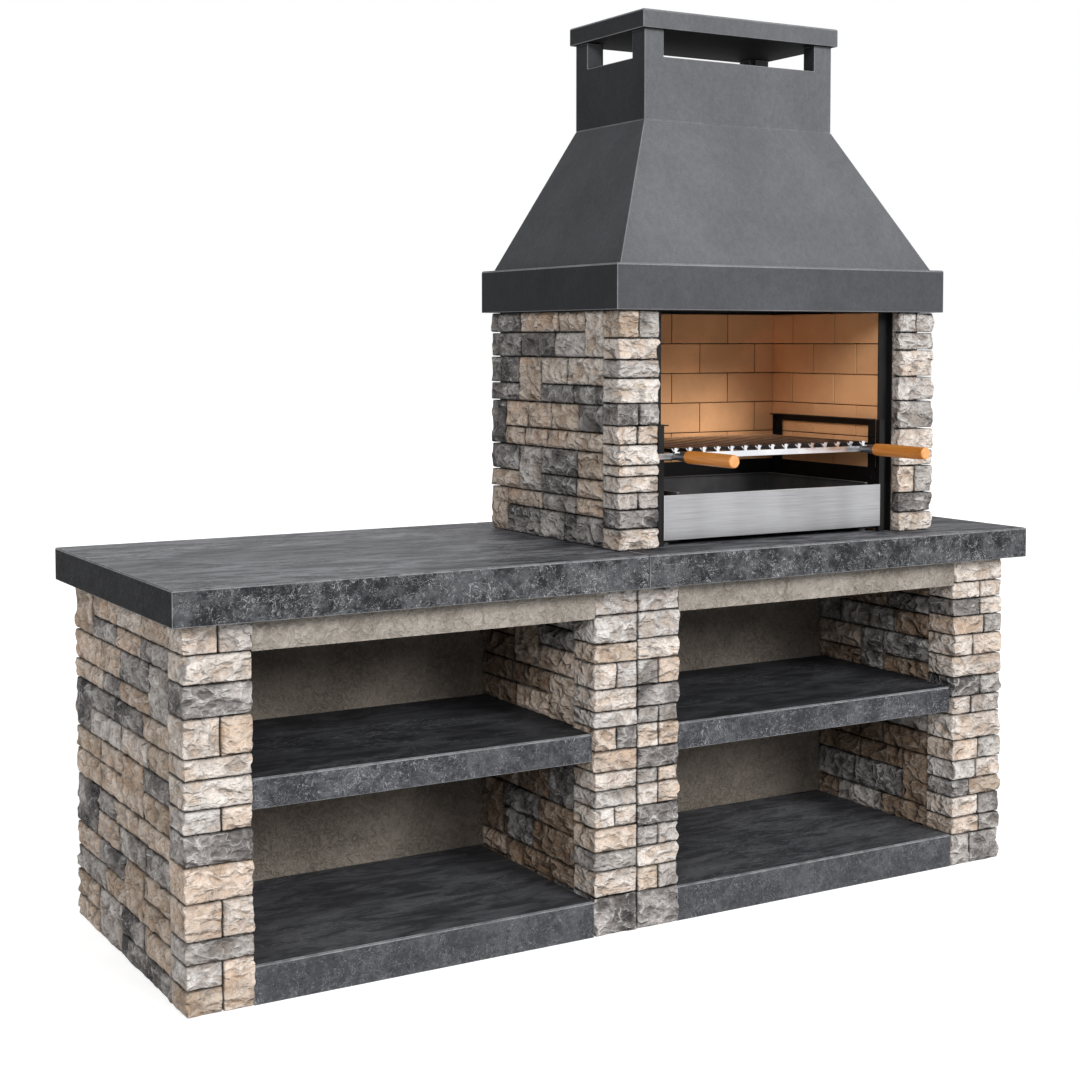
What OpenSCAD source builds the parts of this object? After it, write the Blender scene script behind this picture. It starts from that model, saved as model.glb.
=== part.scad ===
// Outdoor masonry barbecue: two stone-faced base modules with shelves and worktops, a brick-lined
// firebox, a cast hood with chimney, and a steel insert with an ember drawer and a lift-off grill.
// The origin is on the ground, on the joint between the base modules, halfway back.
// +X runs along the worktop to the right, +Y runs from front to back, +Z is up.

/* [Base modules] */
// Clear width of the left bay
left_bay_w = 845; // [600:5:1200]
// Clear width of the right bay
right_bay_w = 884; // [600:5:1200]
// Depth of each bay, from the front of the walls to its back panel
bay_d = 560; // [450:5:650]
// Depth of the open recess behind each back panel
rear_recess_d = 170; // [120:5:250]
// Thickness of the left outer wall over its stones
left_wall_t = 150; // [120:1:240]
// Thickness of the right outer wall over its stones
right_wall_t = 170; // [120:1:240]
// Thickness of each inner wall over its stones
inner_wall_t = 118; // [90:1:200]
// Clear height between base slab and shelf
lower_bay_h = 329; // [220:1:420]
// Clear height between shelf and worktop
upper_bay_h = 341; // [220:1:420]

/* [Slabs and panels] */
// Thickness of the slab on the ground in each bay
base_slab_t = 86; // [50:1:120]
// Thickness of each shelf
shelf_t = 66; // [40:1:90]
// Thickness of the worktops
worktop_t = 78; // [40:1:110]
// Overhang of the worktops at the front
front_over = 49; // [20:1:90]
// Overhang of the worktops at the ends
end_over = 38; // [15:1:80]
// Overhang of the worktops at the back
back_over = 22; // [0:1:60]
// Open joint between the two worktops
worktop_joint = 2; // [1:0.5:6]
// Thickness of the back panels
panel_t = 60; // [30:1:90]
// Height of the concrete lintel at the top of each bay
lintel_h = 69; // [40:1:110]
// Depth of the lintels
lintel_d = 50; // [30:1:90]
// Setback of the base slabs from the front of the walls
base_slab_setback = 4; // [0:1:30]
// Setback of the shelves from the front of the walls
shelf_setback = 15; // [0:1:60]
// Setback of the lintels from the front of the walls
lintel_setback = 3; // [0:1:30]
// Chamfer along the top edges of slabs and hood castings
edge_chamfer = 3; // [1:0.5:8]

/* [Stone facing] */
// Thickness of the facing stones
facing_t = 30; // [18:1:40]
// Depth of the stones wrapped round the front end of each base wall
head_d = 100; // [60:1:160]
// Depth of the stones wrapped round the front of each firebox wall
fire_head_d = 75; // [55:1:120]
// Open joint between neighbouring stones
stone_joint = 3; // [1:0.5:6]
// Height of a pair of courses in the side facings
pair_h = 120; // [90:1:200]
// Usual length of the stones on the outer ends
end_piece_l = 205; // [100:5:300]
// Usual length of the stones in the bays
bay_piece_l = 150; // [80:5:250]
// Usual length of the stones on the sides of the firebox
fire_piece_l = 135; // [80:5:250]
// Share of a stone's width by which neighbours differ
stone_spread = 0.3; // [0:0.05:0.4]

/* [Firebox] */
// Distance from the module joint to the left face of the firebox
firebox_x = -25; // [-100:1:120]
// Clear width of the firebox opening
opening_w = 756; // [600:1:900]
// Width of the stone pillar on each side of the opening
fire_wall_t = 114; // [90:1:180]
// Height of the firebox walls
firebox_h = 572; // [450:1:700]
// Setback of the firebox from the front of the base walls
firebox_setback = 45; // [0:1:90]
// Clear depth of the firebox, from its front to the face of its back lining
hearth_d = 496; // [420:1:560]
// Thickness of the wall behind the back lining
back_wall_t = 102; // [60:1:140]
// Thickness of the firebrick lining
brick_t = 32; // [20:1:50]
// Length of one firebrick with its joint
brick_l = 189; // [140:1:260]
// Height of one firebrick with its joint
brick_h = 80; // [60:1:120]
// Joint between the firebricks
brick_joint = 2; // [1:0.5:5]

/* [Hood and chimney] */
// Overhang of the hood's skirt past the firebox
skirt_over = 17; // [5:1:50]
// Height of the hood's skirt
skirt_h = 110; // [70:1:180]
// Depth of the skirt's front beam
skirt_beam_d = 90; // [60:1:140]
// Setback of the sloping hood from the edge of its skirt
cone_inset = 24; // [6:1:40]
// Height of the sloping hood
cone_h = 366; // [250:1:500]
// Wall of the sloping hood and the chimney
shell_t = 45; // [25:1:50]
// Width of the chimney
chimney_w = 592; // [400:1:700]
// Depth of the chimney
chimney_d = 326; // [240:1:420]
// Setback of the chimney from the front of the skirt
chimney_setback = 207; // [120:1:240]
// Height of the chimney under its cap
chimney_h = 225; // [150:1:500]
// Height of the four smoke outlets
outlet_h = 67; // [40:1:100]
// Width of the chimney's corner posts between the outlets
outlet_margin = 57; // [50:1:90]
// Thickness of the chimney cap
cap_t = 46; // [25:1:80]
// Overhang of the chimney cap
cap_over = 12; // [0:1:40]

/* [Steel insert] */
// Thickness of the insert's sheet and angle steel
steel_t = 3; // [2:0.5:5]
// Setback of the front posts from the front of the firebox
insert_setback = 35; // [32:1:50]
// Distance of the jamb angles behind the front posts
jamb_back = 10; // [6:1:20]
// Width of the front posts
post_w = 17; // [12:1:30]
// Depth of the returns of the posts
return_d = 14; // [10:1:24]
// Height of the front posts
post_h = 292; // [250:1:340]
// Height of the steel surround above the worktop
surround_h = 166; // [130:1:180]
// Height of the feet under the insert
foot_h = 8; // [5:1:20]
// Diameter of the feet
foot_d = 26; // [16:1:40]
// Width of the flange at the bottom of each side plate
flange_w = 58; // [45:1:80]
// Height of the drawer's runners
runner_h = 25; // [12:1:40]
// Width of the drawer's runners
runner_w = 22; // [14:1:30]
// Width of the rack uprights
upright_w = 26; // [24:1:50]
// Width of the flange that stiffens each rear upright
upright_flange = 14; // [8:1:20]
// Height of the upper rail above the worktop
upper_rail_h = 294; // [270:1:340]
// Width of the upper rail's top flange
upper_rail_w = 24; // [14:1:40]
// Depth of the rails' upright flanges
rail_flange = 18; // [10:1:24]
// Thread diameter of the bolts that hold the racks
bolt_d = 8; // [5:1:12]
// Depth of the bolts in the brick lining
bolt_bite = 20; // [10:1:28]
// Height of the lower bolts above the worktop
low_bolt_h = 140; // [110:1:150]
// Distance of the upper bolts below the upper rail
top_bolt_drop = 24; // [16:1:40]

/* [Ember drawer] */
// Height of the drawer's front panel
front_h = 110; // [80:1:130]
// Height of the front panel's lower edge above the worktop
front_lift = 14; // [12:1:24]
// Thickness of the front panel
front_t = 3; // [2:0.5:5]
// Thickness of the ember tray's sheet
tray_t = 2; // [1:0.5:4]
// Height of the ember tray's side and back walls
tray_h = 116; // [90:1:125]
// Depth of the ember tray
tray_d = 420; // [380:1:440]
// Width of the folded rim along the tray's sides and back
tray_rim = 8; // [4:1:12]
// Diameter of the studs that hold the front panel
stud_d = 6; // [4:1:8]

/* [Grill] */
// Height of the grill's bars above the worktop
grill_lift = 213; // [195:1:240]
// Distance that the grill sits to the left of the opening's centre
grill_shift = 22; // [0:1:30]
// Height of the front and rear bars
bar_h = 14; // [8:1:20]
// Depth of the front and rear bars
bar_d = 12; // [8:1:16]
// Bearing of the bars on the narrower side of the racks
bar_bearing = 12; // [6:1:30]
// Gap between the front bar's left end and the pillar
bar_end_gap = 11; // [5:1:30]
// Distance between neighbouring channels, fitted to a whole number of gaps
channel_pitch = 42; // [30:1:60]
// Distance from the ends of the rear bar to the outer channels
channel_inset = 15; // [10:1:60]
// Width of the channels
channel_w = 20; // [12:1:26]
// Depth of the channels
channel_h = 11; // [6:1:16]
// Wall of the channels
channel_t = 1.5; // [1:0.5:2.5]
// Width of the tabs at the front of the channels
tab_w = 8; // [4:1:12]
// Distance from the ends of the front bar to the handles
handle_inset = 52; // [20:1:120]
// Length of each ferrule between bar and grip
ferrule_l = 50; // [40:1:100]
// Diameter of the ferrules at the grip
ferrule_d = 26; // [20:1:32]
// Length of each wooden grip
grip_l = 186; // [160:1:260]
// Diameter of the wooden grips
grip_d = 32; // [26:1:40]
// Rounding of the grips' edges
grip_round = 4; // [1:0.5:8]
// Diameter of the rods inside the grips
rod_d = 10; // [6:1:12]
// Depth of the rods in the grips
rod_bite = 130; // [60:1:150]

/* [Hidden] */

// Colours
stone_colour = [0.72, 0.66, 0.58];
core_colour = [0.60, 0.57, 0.52];
slab_colour = [0.26, 0.26, 0.28];
brick_colour = [0.78, 0.56, 0.38];
hood_colour = [0.34, 0.34, 0.36];
black_steel = [0.09, 0.09, 0.10];
bare_steel = [0.74, 0.74, 0.75];
wood_colour = [0.80, 0.48, 0.20];

// Small clearances: a hair that makes cuts pass right through, and the play of sliding parts
cut = 1;
slide_play = 0.3;
side_play = 3;

// Heights of the base
shelf_z = base_slab_t + lower_bay_h;
upper_z = shelf_z + shelf_t;
base_h = upper_z + upper_bay_h;
top_z = base_h + worktop_t;

// Depths of the base, measured from its front
base_d = bay_d + panel_t + rear_recess_d;
front_y = -base_d / 2;

// Faces of the walls and bays along X
left_inner_x = -inner_wall_t;
left_bay_x = left_inner_x - left_bay_w;
left_outer_x = left_bay_x - left_wall_t;
right_bay_x = inner_wall_t;
right_outer_x = right_bay_x + right_bay_w;
right_end_x = right_outer_x + right_wall_t;

// Courses of the stone columns from the bottom up. Each gives its height, then, where two stones
// lie side by side, the first one's share of the width, and where the second isn't one course
// high, how many courses it spans
left_outer_courses = [
    [57, 0.54, 2], [53, 0.54, 0], [48], [80, 0.54], [77], [67], [50, 0.54], [63], [45],
    [83, 0.53], [70], [62], [67, 0.51]
];
left_inner_courses = [
    [93], [60], [45], [57], [48, 0.47], [40], [44], [50], [54, 0.52], [39], [52], [61, 0.51],
    [46], [67], [63]
];
right_inner_courses = [
    [91], [58, 0.5], [49], [49, 0.5], [50], [52, 0.5], [36, 0.5], [50], [58, 0.5], [40, 0.5],
    [52], [61, 0.5], [50], [64], [62]
];
right_outer_courses = [
    [83, 0.38], [46, 0.57], [55, 0.55], [46, 0.36], [51, 0.5], [56, 0.54], [69], [48, 0.39],
    [52, 0.57], [56], [57, 0.41], [50, 0.64], [46, 0.55], [45, 0.55], [63]
];
fire_left_courses = [
    [51], [46], [40, 0.5], [39], [26], [50], [45, 0.53], [53, 0.49], [60], [44], [51], [67, 0.5]
];
fire_right_courses = [[50], [51], [71, 0.47], [42], [55], [73], [63], [69], [46], [52, 0.48]];

// Shares that set the uneven lengths and heights of the other facings
tall_share_low = 0.55;
tall_share_high = 0.85;
low_course_least = 0.36;
low_course_most = 0.64;

// Numbers that pick each facing's own layout
end_seeds = [120, 170];
bay_seeds = [300, 180, 390, 400];
fire_seeds = [400, 130];
upper_seed_step = 7;
pair_seed_step = 17;

// Firebox
fire_y = front_y + firebox_setback;
opening_x = firebox_x + fire_wall_t;
opening_end_x = opening_x + opening_w;
opening_mid_x = opening_x + opening_w / 2;
firebox_w = opening_w + 2 * fire_wall_t;
lining_y = fire_y + hearth_d;
firebox_d = hearth_d + brick_t + back_wall_t;
hood_z = top_z + firebox_h;

// Hood
skirt_x = firebox_x - skirt_over;
skirt_w = firebox_w + 2 * skirt_over;
skirt_y = fire_y - skirt_over;
skirt_d = firebox_d + 2 * skirt_over;
cone_z = hood_z + skirt_h;
chimney_z = cone_z + cone_h;
chimney_x = opening_mid_x - chimney_w / 2;
chimney_y = skirt_y + chimney_setback;
cap_z = chimney_z + chimney_h;

// Steel insert, worked out for the right side and mirrored for the left
insert_y = fire_y + insert_setback;
jamb_y = insert_y + jamb_back;
brick_y = jamb_y + steel_t;
lining_x = opening_end_x - brick_t;
jamb_x = lining_x - steel_t;
plate_x = jamb_x - steel_t;
upright_x = plate_x - steel_t;
plate_y = insert_y + return_d;
back_plate_y = lining_y - steel_t;
flange_z = top_z + foot_h;
runner_z = flange_z + steel_t;
jamb_gap = 2;
foot_inset = 25;
rack_front_gap = 2;
rack_back_gap = 25;
rack_y = plate_y + rack_front_gap;
rack_end_y = back_plate_y - rack_back_gap;
rear_upright_y = rack_end_y - upright_w;
upright_z = runner_z;
upper_rail_z = top_z + upper_rail_h;
bolt_r = bolt_d / 2;
bolt_play = 0.2;
bolt_hole_r = bolt_r + bolt_play;
bolt_head_r = 0.9 * bolt_d;
bolt_head_h = 0.6 * bolt_d;
bolt_offset = 0.5 * upright_w;

// Ember drawer
front_z = top_z + front_lift;
front_back_y = insert_y - slide_play;
front_overlap = 2;
runner_x = plate_x + steel_t - flange_w + runner_w;
tray_end_x = runner_x - steel_t - side_play;
tray_x = 2 * opening_mid_x - tray_end_x;
tray_w = tray_end_x - tray_x;
tray_z = runner_z + steel_t + slide_play;
tray_front_drop = 2;
tray_front_h = front_z + front_h - tray_front_drop - tray_z;
stud_play = 0.2;
stud_l = 14;
stud_nut_d = 11;
stud_nut_h = 5;
stud_inset = 60;
stud_count = 4;

// Grill
grill_z = top_z + grill_lift;
ledge_z = grill_z - slide_play - steel_t;
grill_mid_x = opening_mid_x - grill_shift;
rear_bar_half = grill_mid_x - (2 * opening_mid_x - upright_x) - 2 * side_play;
front_bar_half = grill_mid_x - opening_x - bar_end_gap;
ledge_x = grill_mid_x + rear_bar_half - bar_bearing;
bar_y = insert_y - side_play - bar_d;
rear_bar_y = rack_end_y - steel_t - 2 * side_play - bar_d;
channel_span = 2 * (rear_bar_half - channel_inset);
channel_gaps = max(1, round(channel_span / channel_pitch));
channel_step = channel_span / channel_gaps;
tab_t = 3;
ferrule_tip_d = bar_h;
grip_y = bar_y - ferrule_l;
handle_z = grill_z + bar_h / 2;
rod_play = 0.1;

// Sum of the first n entries of a list
function sum_to(v, n) = n <= 0 ? 0 : v[n - 1] + sum_to(v, n - 1);

// Edges that cut a length into n uneven pieces
function cuts(length, n, seed) =
    let (w = rands(1 - stone_spread, 1 + stone_spread, n, seed))
    [for (i = [0:n]) length * sum_to(w, i) / sum_to(w, n)];

// Position at a share of the way from one value to another
function between(a, b, share) = a + (b - a) * share;

// Copy on the left of the opening of a piece drawn on its right
module mirrored() {
    translate([2 * opening_mid_x, 0, 0]) mirror([1, 0, 0]) children();
}

// One facing stone, half a joint smaller all round than its share of the wall
module stone(y, z, length, height) {
    translate([0, y + stone_joint / 2, z + stone_joint / 2])
        cube([facing_t, length - stone_joint, height - stone_joint]);
}

// One course of stones along Y
module course(y, z, length, height, piece_l, seed) {
    n = max(1, round(length / piece_l));
    edges = cuts(length, n, seed);
    for (i = [0:n - 1]) stone(y + edges[i], z, edges[i + 1] - edges[i], height);
}

// Two courses, broken by one tall stone that spans both
module course_pair(y, z, length, height, piece_l, seed) {
    dice = rands(0, 1, 3, seed);
    low = height * between(low_course_least, low_course_most, dice[0]);
    tall = piece_l * between(tall_share_low, tall_share_high, dice[1]);
    places = max(1, round((length - tall) / piece_l));
    before = (length - tall) / places * floor((places + 1) * dice[2]);
    after = length - tall - before;
    stone(y + before, z, tall, height);
    for (i = [0, 1]) {
        course_z = z + i * low;
        course_h = i == 0 ? low : height - low;
        if (before > cut) course(y, course_z, before, course_h, piece_l, seed + i + 1);
        if (after > cut) course(y + length - after, course_z, after, course_h, piece_l, seed + i + 3);
    }
}

// Facing of one wall side, with its stones' backs at x and their faces towards side (1 or -1)
module side_facing(x, side, y, z, length, height, piece_l, seed) {
    pairs = max(1, round(height / pair_h));
    color(stone_colour) translate([side > 0 ? x : x - facing_t, 0, 0])
        for (p = [0:pairs - 1])
            course_pair(y, z + p * height / pairs, length, height / pairs, piece_l,
                seed + p * pair_seed_step);
}

// Column of stones wrapped round the front end of a wall's core
module head_column(x, y, z, width, depth, height, courses, core_x, core_w) {
    shares = [for (c = courses) c[0]];
    unit = height / sum_to(shares, len(shares));
    color(stone_colour) difference() {
        for (i = [0:len(courses) - 1]) {
            course = courses[i];
            split = len(course) > 1;
            span = len(course) > 2 ? course[2] : 1;
            stone_z = z + unit * sum_to(shares, i) + stone_joint / 2;
            top = z + unit * sum_to(shares, i + 1) - stone_joint / 2;
            second_top = z + unit * sum_to(shares, i + span) - stone_joint / 2;
            first_w = split ? width * course[1] - stone_joint / 2 : width;
            translate([x, y, stone_z]) cube([first_w, depth, top - stone_z]);
            if (split && span > 0)
                translate([x + first_w + stone_joint, y, stone_z])
                    cube([width - first_w - stone_joint, depth, second_top - stone_z]);
        }
        translate([core_x, y + facing_t, z - cut]) cube([core_w, depth, height + 2 * cut]);
    }
}

// Slab whose top edges are chamfered
module slab(x, y, z, w, d, t) {
    c = edge_chamfer;
    intersection() {
        translate([x, y + d, z]) rotate([90, 0, 0]) linear_extrude(d)
            polygon([[0, 0], [w, 0], [w, t - c], [w - c, t], [c, t], [0, t - c]]);
        translate([x, y, z]) rotate([90, 0, 90]) linear_extrude(w)
            polygon([[0, 0], [d, 0], [d, t - c], [d - c, t], [c, t], [0, t - c]]);
    }
}

// Base walls
module wall_core(x, w) {
    color(core_colour) translate([x, front_y + facing_t, 0]) cube([w, base_d - facing_t, base_h]);
}
module wall_core_left_outer() {
    wall_core(left_outer_x + facing_t, left_wall_t - 2 * facing_t);
}
module wall_core_left_inner() {
    wall_core(left_inner_x + facing_t, inner_wall_t - facing_t);
}
module wall_core_right_inner() {
    wall_core(0, inner_wall_t - facing_t);
}
module wall_core_right_outer() {
    wall_core(right_outer_x + facing_t, right_wall_t - 2 * facing_t);
}

// Stones wrapped round the front ends of the base walls
module base_head(x, w, courses, core_x, core_w) {
    head_column(x, front_y, 0, w, head_d, base_h, courses, core_x, core_w);
}
module head_stones_left_outer() {
    base_head(left_outer_x, left_wall_t, left_outer_courses,
        left_outer_x + facing_t, left_wall_t - 2 * facing_t);
}
module head_stones_left_inner() {
    base_head(left_inner_x, inner_wall_t - stone_joint / 2, left_inner_courses,
        left_inner_x + facing_t, inner_wall_t);
}
module head_stones_right_inner() {
    base_head(stone_joint / 2, inner_wall_t - stone_joint / 2, right_inner_courses,
        -facing_t, inner_wall_t);
}
module head_stones_right_outer() {
    base_head(right_outer_x, right_wall_t, right_outer_courses,
        right_outer_x + facing_t, right_wall_t - 2 * facing_t);
}

// Facings of the outer ends
module end_stones_left() {
    side_facing(left_outer_x + facing_t, -1, front_y + head_d, 0, base_d - head_d, base_h,
        end_piece_l, end_seeds[0]);
}
module end_stones_right() {
    side_facing(right_end_x - facing_t, 1, front_y + head_d, 0, base_d - head_d, base_h,
        end_piece_l, end_seeds[1]);
}

// Facings inside a bay, below and above its shelf
module bay_facing(x, side, seed) {
    side_facing(x, side, front_y + head_d, 0, bay_d - head_d, shelf_z, bay_piece_l, seed);
    side_facing(x, side, front_y + head_d, upper_z, bay_d - head_d, upper_bay_h, bay_piece_l,
        seed + upper_seed_step);
}
module bay_stones_left_outer() {
    bay_facing(left_bay_x - facing_t, 1, bay_seeds[0]);
}
module bay_stones_left_inner() {
    bay_facing(left_inner_x + facing_t, -1, bay_seeds[1]);
}
module bay_stones_right_inner() {
    bay_facing(right_bay_x - facing_t, 1, bay_seeds[2]);
}
module bay_stones_right_outer() {
    bay_facing(right_outer_x + facing_t, -1, bay_seeds[3]);
}

// Slabs on the ground in the bays
module base_slab(x, w) {
    color(slab_colour)
        slab(x, front_y + base_slab_setback, 0, w, bay_d - base_slab_setback, base_slab_t);
}
module base_slab_left() { base_slab(left_bay_x, left_bay_w); }
module base_slab_right() { base_slab(right_bay_x, right_bay_w); }

// Shelves, whose rear shoulders reach over the lower facings to the wall cores
module shelf(x, w) {
    notch_d = head_d + stone_joint / 2 - shelf_setback;
    color(slab_colour) difference() {
        slab(x - facing_t, front_y + shelf_setback, shelf_z, w + 2 * facing_t,
            bay_d - shelf_setback, shelf_t);
        for (notch_x = [x - facing_t - cut, x + w])
            translate([notch_x, front_y + shelf_setback - cut, shelf_z - cut])
                cube([facing_t + cut, notch_d + cut, shelf_t + 2 * cut]);
    }
}
module shelf_left() { shelf(left_bay_x, left_bay_w); }
module shelf_right() { shelf(right_bay_x, right_bay_w); }

// Back panels between the wall cores
module back_panel(x, w) {
    color(core_colour) translate([x - facing_t, front_y + bay_d, 0])
        cube([w + 2 * facing_t, panel_t, base_h]);
}
module back_panel_left() { back_panel(left_bay_x, left_bay_w); }
module back_panel_right() { back_panel(right_bay_x, right_bay_w); }

// Lintels between the head stones, under the worktops
module lintel(x, w) {
    color(core_colour) translate([x, front_y + lintel_setback, base_h - lintel_h])
        cube([w, lintel_d, lintel_h]);
}
module lintel_left() { lintel(left_bay_x, left_bay_w); }
module lintel_right() { lintel(right_bay_x, right_bay_w); }

// Worktops
module worktop(x, w) {
    color(slab_colour)
        slab(x, front_y - front_over, base_h, w, front_over + base_d + back_over, worktop_t);
}
module worktop_left() {
    worktop(left_outer_x - end_over, end_over - left_outer_x - worktop_joint / 2);
}
module worktop_right() {
    worktop(worktop_joint / 2, right_end_x + end_over - worktop_joint / 2);
}

// Firebox walls
module fire_core_right() {
    color(core_colour) translate([opening_end_x, fire_y + facing_t, top_z])
        cube([fire_wall_t - facing_t, firebox_d - facing_t, firebox_h]);
}
module fire_core_left() {
    mirrored() fire_core_right();
}
module fire_core_back() {
    color(core_colour) translate([opening_x, lining_y + brick_t, top_z])
        cube([opening_w, back_wall_t, firebox_h]);
}
module fire_head(courses) {
    head_column(opening_end_x, fire_y, top_z, fire_wall_t, fire_head_d, firebox_h, courses,
        opening_end_x - facing_t, fire_wall_t);
}
module fire_head_stones_right() {
    fire_head(fire_right_courses);
}
module fire_head_stones_left() {
    mirrored() fire_head(fire_left_courses);
}
module fire_side(seed) {
    side_facing(opening_end_x + fire_wall_t - facing_t, 1, fire_y + fire_head_d, top_z,
        firebox_d - fire_head_d, firebox_h, fire_piece_l, seed);
}
module fire_side_stones_right() {
    fire_side(fire_seeds[0]);
}
module fire_side_stones_left() {
    mirrored() fire_side(fire_seeds[1]);
}

// Firebricks in running bond, along X from the origin and up, fitted to whole half bricks
module brickwork(length, height) {
    halves = max(2, round(2 * length / brick_l));
    half = length / halves;
    rows = max(1, round(height / brick_h));
    row_h = height / rows;
    for (r = [0:rows - 1], b = [0:floor((halves + r % 2) / 2)]) {
        start = max(0, (2 * b - r % 2) * half);
        end = min(length, (2 * b + 2 - r % 2) * half);
        if (end - start > brick_joint)
            translate([start + brick_joint / 2, 0, r * row_h + brick_joint / 2])
                cube([end - start - brick_joint, brick_t, row_h - brick_joint]);
    }
}
module firebricks_back() {
    color(brick_colour) translate([opening_x, lining_y, top_z]) brickwork(opening_w, firebox_h);
}
module firebricks_right() {
    color(brick_colour) difference() {
        translate([opening_end_x, brick_y, top_z]) rotate([0, 0, 90])
            brickwork(lining_y - brick_y, firebox_h);
        bolt_holes();
    }
}
module firebricks_left() {
    mirrored() firebricks_right();
}

// Hood: a skirt round the top of the firebox, then a hollow frustum
module hood_skirt() {
    color(hood_colour) difference() {
        slab(skirt_x, skirt_y, hood_z, skirt_w, skirt_d, skirt_h);
        translate([opening_x, skirt_y + skirt_beam_d, hood_z - cut])
            cube([opening_w, lining_y + brick_t - skirt_y - skirt_beam_d, skirt_h + 2 * cut]);
    }
}

// Frustum between the skirt's and the chimney's outlines, both drawn in by wall; its two
// extrusions cross, and it passes its ends by a share of its height
module frustum(wall, pass) {
    low_in = cone_inset + wall;
    x = [skirt_x + low_in, chimney_x + wall];
    x_end = [skirt_x + skirt_w - low_in, chimney_x + chimney_w - wall];
    y = [skirt_y + low_in, chimney_y + wall];
    y_end = [skirt_y + skirt_d - low_in, chimney_y + chimney_d - wall];
    low = -pass;
    high = 1 + pass;
    low_z = cone_h * low;
    high_z = cone_h * high;
    translate([0, 0, cone_z]) intersection() {
        translate([0, skirt_y + skirt_d, 0]) rotate([90, 0, 0]) linear_extrude(skirt_d)
            polygon([
                [between(x[0], x[1], low), low_z], [between(x_end[0], x_end[1], low), low_z],
                [between(x_end[0], x_end[1], high), high_z], [between(x[0], x[1], high), high_z]
            ]);
        translate([skirt_x, 0, 0]) rotate([90, 0, 90]) linear_extrude(skirt_w)
            polygon([
                [between(y[0], y[1], low), low_z], [between(y_end[0], y_end[1], low), low_z],
                [between(y_end[0], y_end[1], high), high_z], [between(y[0], y[1], high), high_z]
            ]);
    }
}
module hood_cone() {
    color(hood_colour) difference() {
        frustum(0, 0);
        frustum(shell_t, 0.01);
    }
}

// Chimney with a smoke outlet in each side, open up to the cap
module chimney_block() {
    color(hood_colour) difference() {
        translate([chimney_x, chimney_y, chimney_z]) cube([chimney_w, chimney_d, chimney_h]);
        translate([chimney_x + shell_t, chimney_y + shell_t, chimney_z - cut])
            cube([chimney_w - 2 * shell_t, chimney_d - 2 * shell_t, chimney_h + 2 * cut]);
        translate([chimney_x + outlet_margin, chimney_y - cut, cap_z - outlet_h])
            cube([chimney_w - 2 * outlet_margin, chimney_d + 2 * cut, outlet_h + cut]);
        translate([chimney_x - cut, chimney_y + outlet_margin, cap_z - outlet_h])
            cube([chimney_w + 2 * cut, chimney_d - 2 * outlet_margin, outlet_h + cut]);
    }
}
module chimney_cap() {
    color(hood_colour) slab(chimney_x - cap_over, chimney_y - cap_over, cap_z,
        chimney_w + 2 * cap_over, chimney_d + 2 * cap_over, cap_t);
}

// Angle over the front end of the lining, whose other flange runs forward to the facing stones
module jamb_angle_right() {
    stone_back_y = fire_y + facing_t;
    jamb_end_x = opening_end_x - jamb_gap;
    color(black_steel) {
        translate([jamb_x, jamb_y, top_z]) cube([jamb_end_x - jamb_x, steel_t, firebox_h]);
        translate([jamb_end_x - steel_t, stone_back_y, top_z])
            cube([steel_t, jamb_y + steel_t - stone_back_y, firebox_h]);
    }
}
module jamb_angle_left() {
    mirrored() jamb_angle_right();
}

// Short angle beside the drawer, with its return along the firebox
module front_post_right() {
    color(black_steel) translate([plate_x, insert_y, top_z]) {
        cube([post_w, steel_t, post_h]);
        cube([steel_t, return_d, post_h]);
    }
}
module front_post_left() {
    mirrored() front_post_right();
}

// Surround: side plates with a flange below, and a back plate between them
module side_plate_right() {
    plate_d = back_plate_y - plate_y;
    color(black_steel) difference() {
        union() {
            translate([plate_x, plate_y, flange_z])
                cube([steel_t, plate_d, surround_h - foot_h]);
            translate([plate_x + steel_t - flange_w, plate_y, flange_z])
                cube([flange_w, plate_d, steel_t]);
        }
        bolt_holes();
    }
}
module side_plate_left() {
    mirrored() side_plate_right();
}
module back_plate() {
    plate_w = 2 * (plate_x + steel_t - opening_mid_x);
    color(black_steel) translate([opening_mid_x - plate_w / 2, back_plate_y, flange_z])
        cube([plate_w, steel_t, surround_h - foot_h]);
}
module insert_feet() {
    foot_x = plate_x + steel_t - flange_w / 2;
    color(bare_steel)
        for (x = [foot_x, 2 * opening_mid_x - foot_x],
                y = [plate_y + foot_inset, back_plate_y - foot_inset])
            translate([x, y, top_z]) cylinder(d = foot_d, h = foot_h, $fn = 48);
}

// Runners on the side plates' flanges, each with an upright leg beside the tray
module runner_right() {
    color(black_steel) translate([runner_x, plate_y, runner_z]) {
        translate([-runner_w, 0, 0]) cube([runner_w, back_plate_y - plate_y, steel_t]);
        translate([-steel_t, 0, 0]) cube([steel_t, back_plate_y - plate_y, runner_h]);
    }
}
module runner_left() {
    mirrored() runner_right();
}

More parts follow.
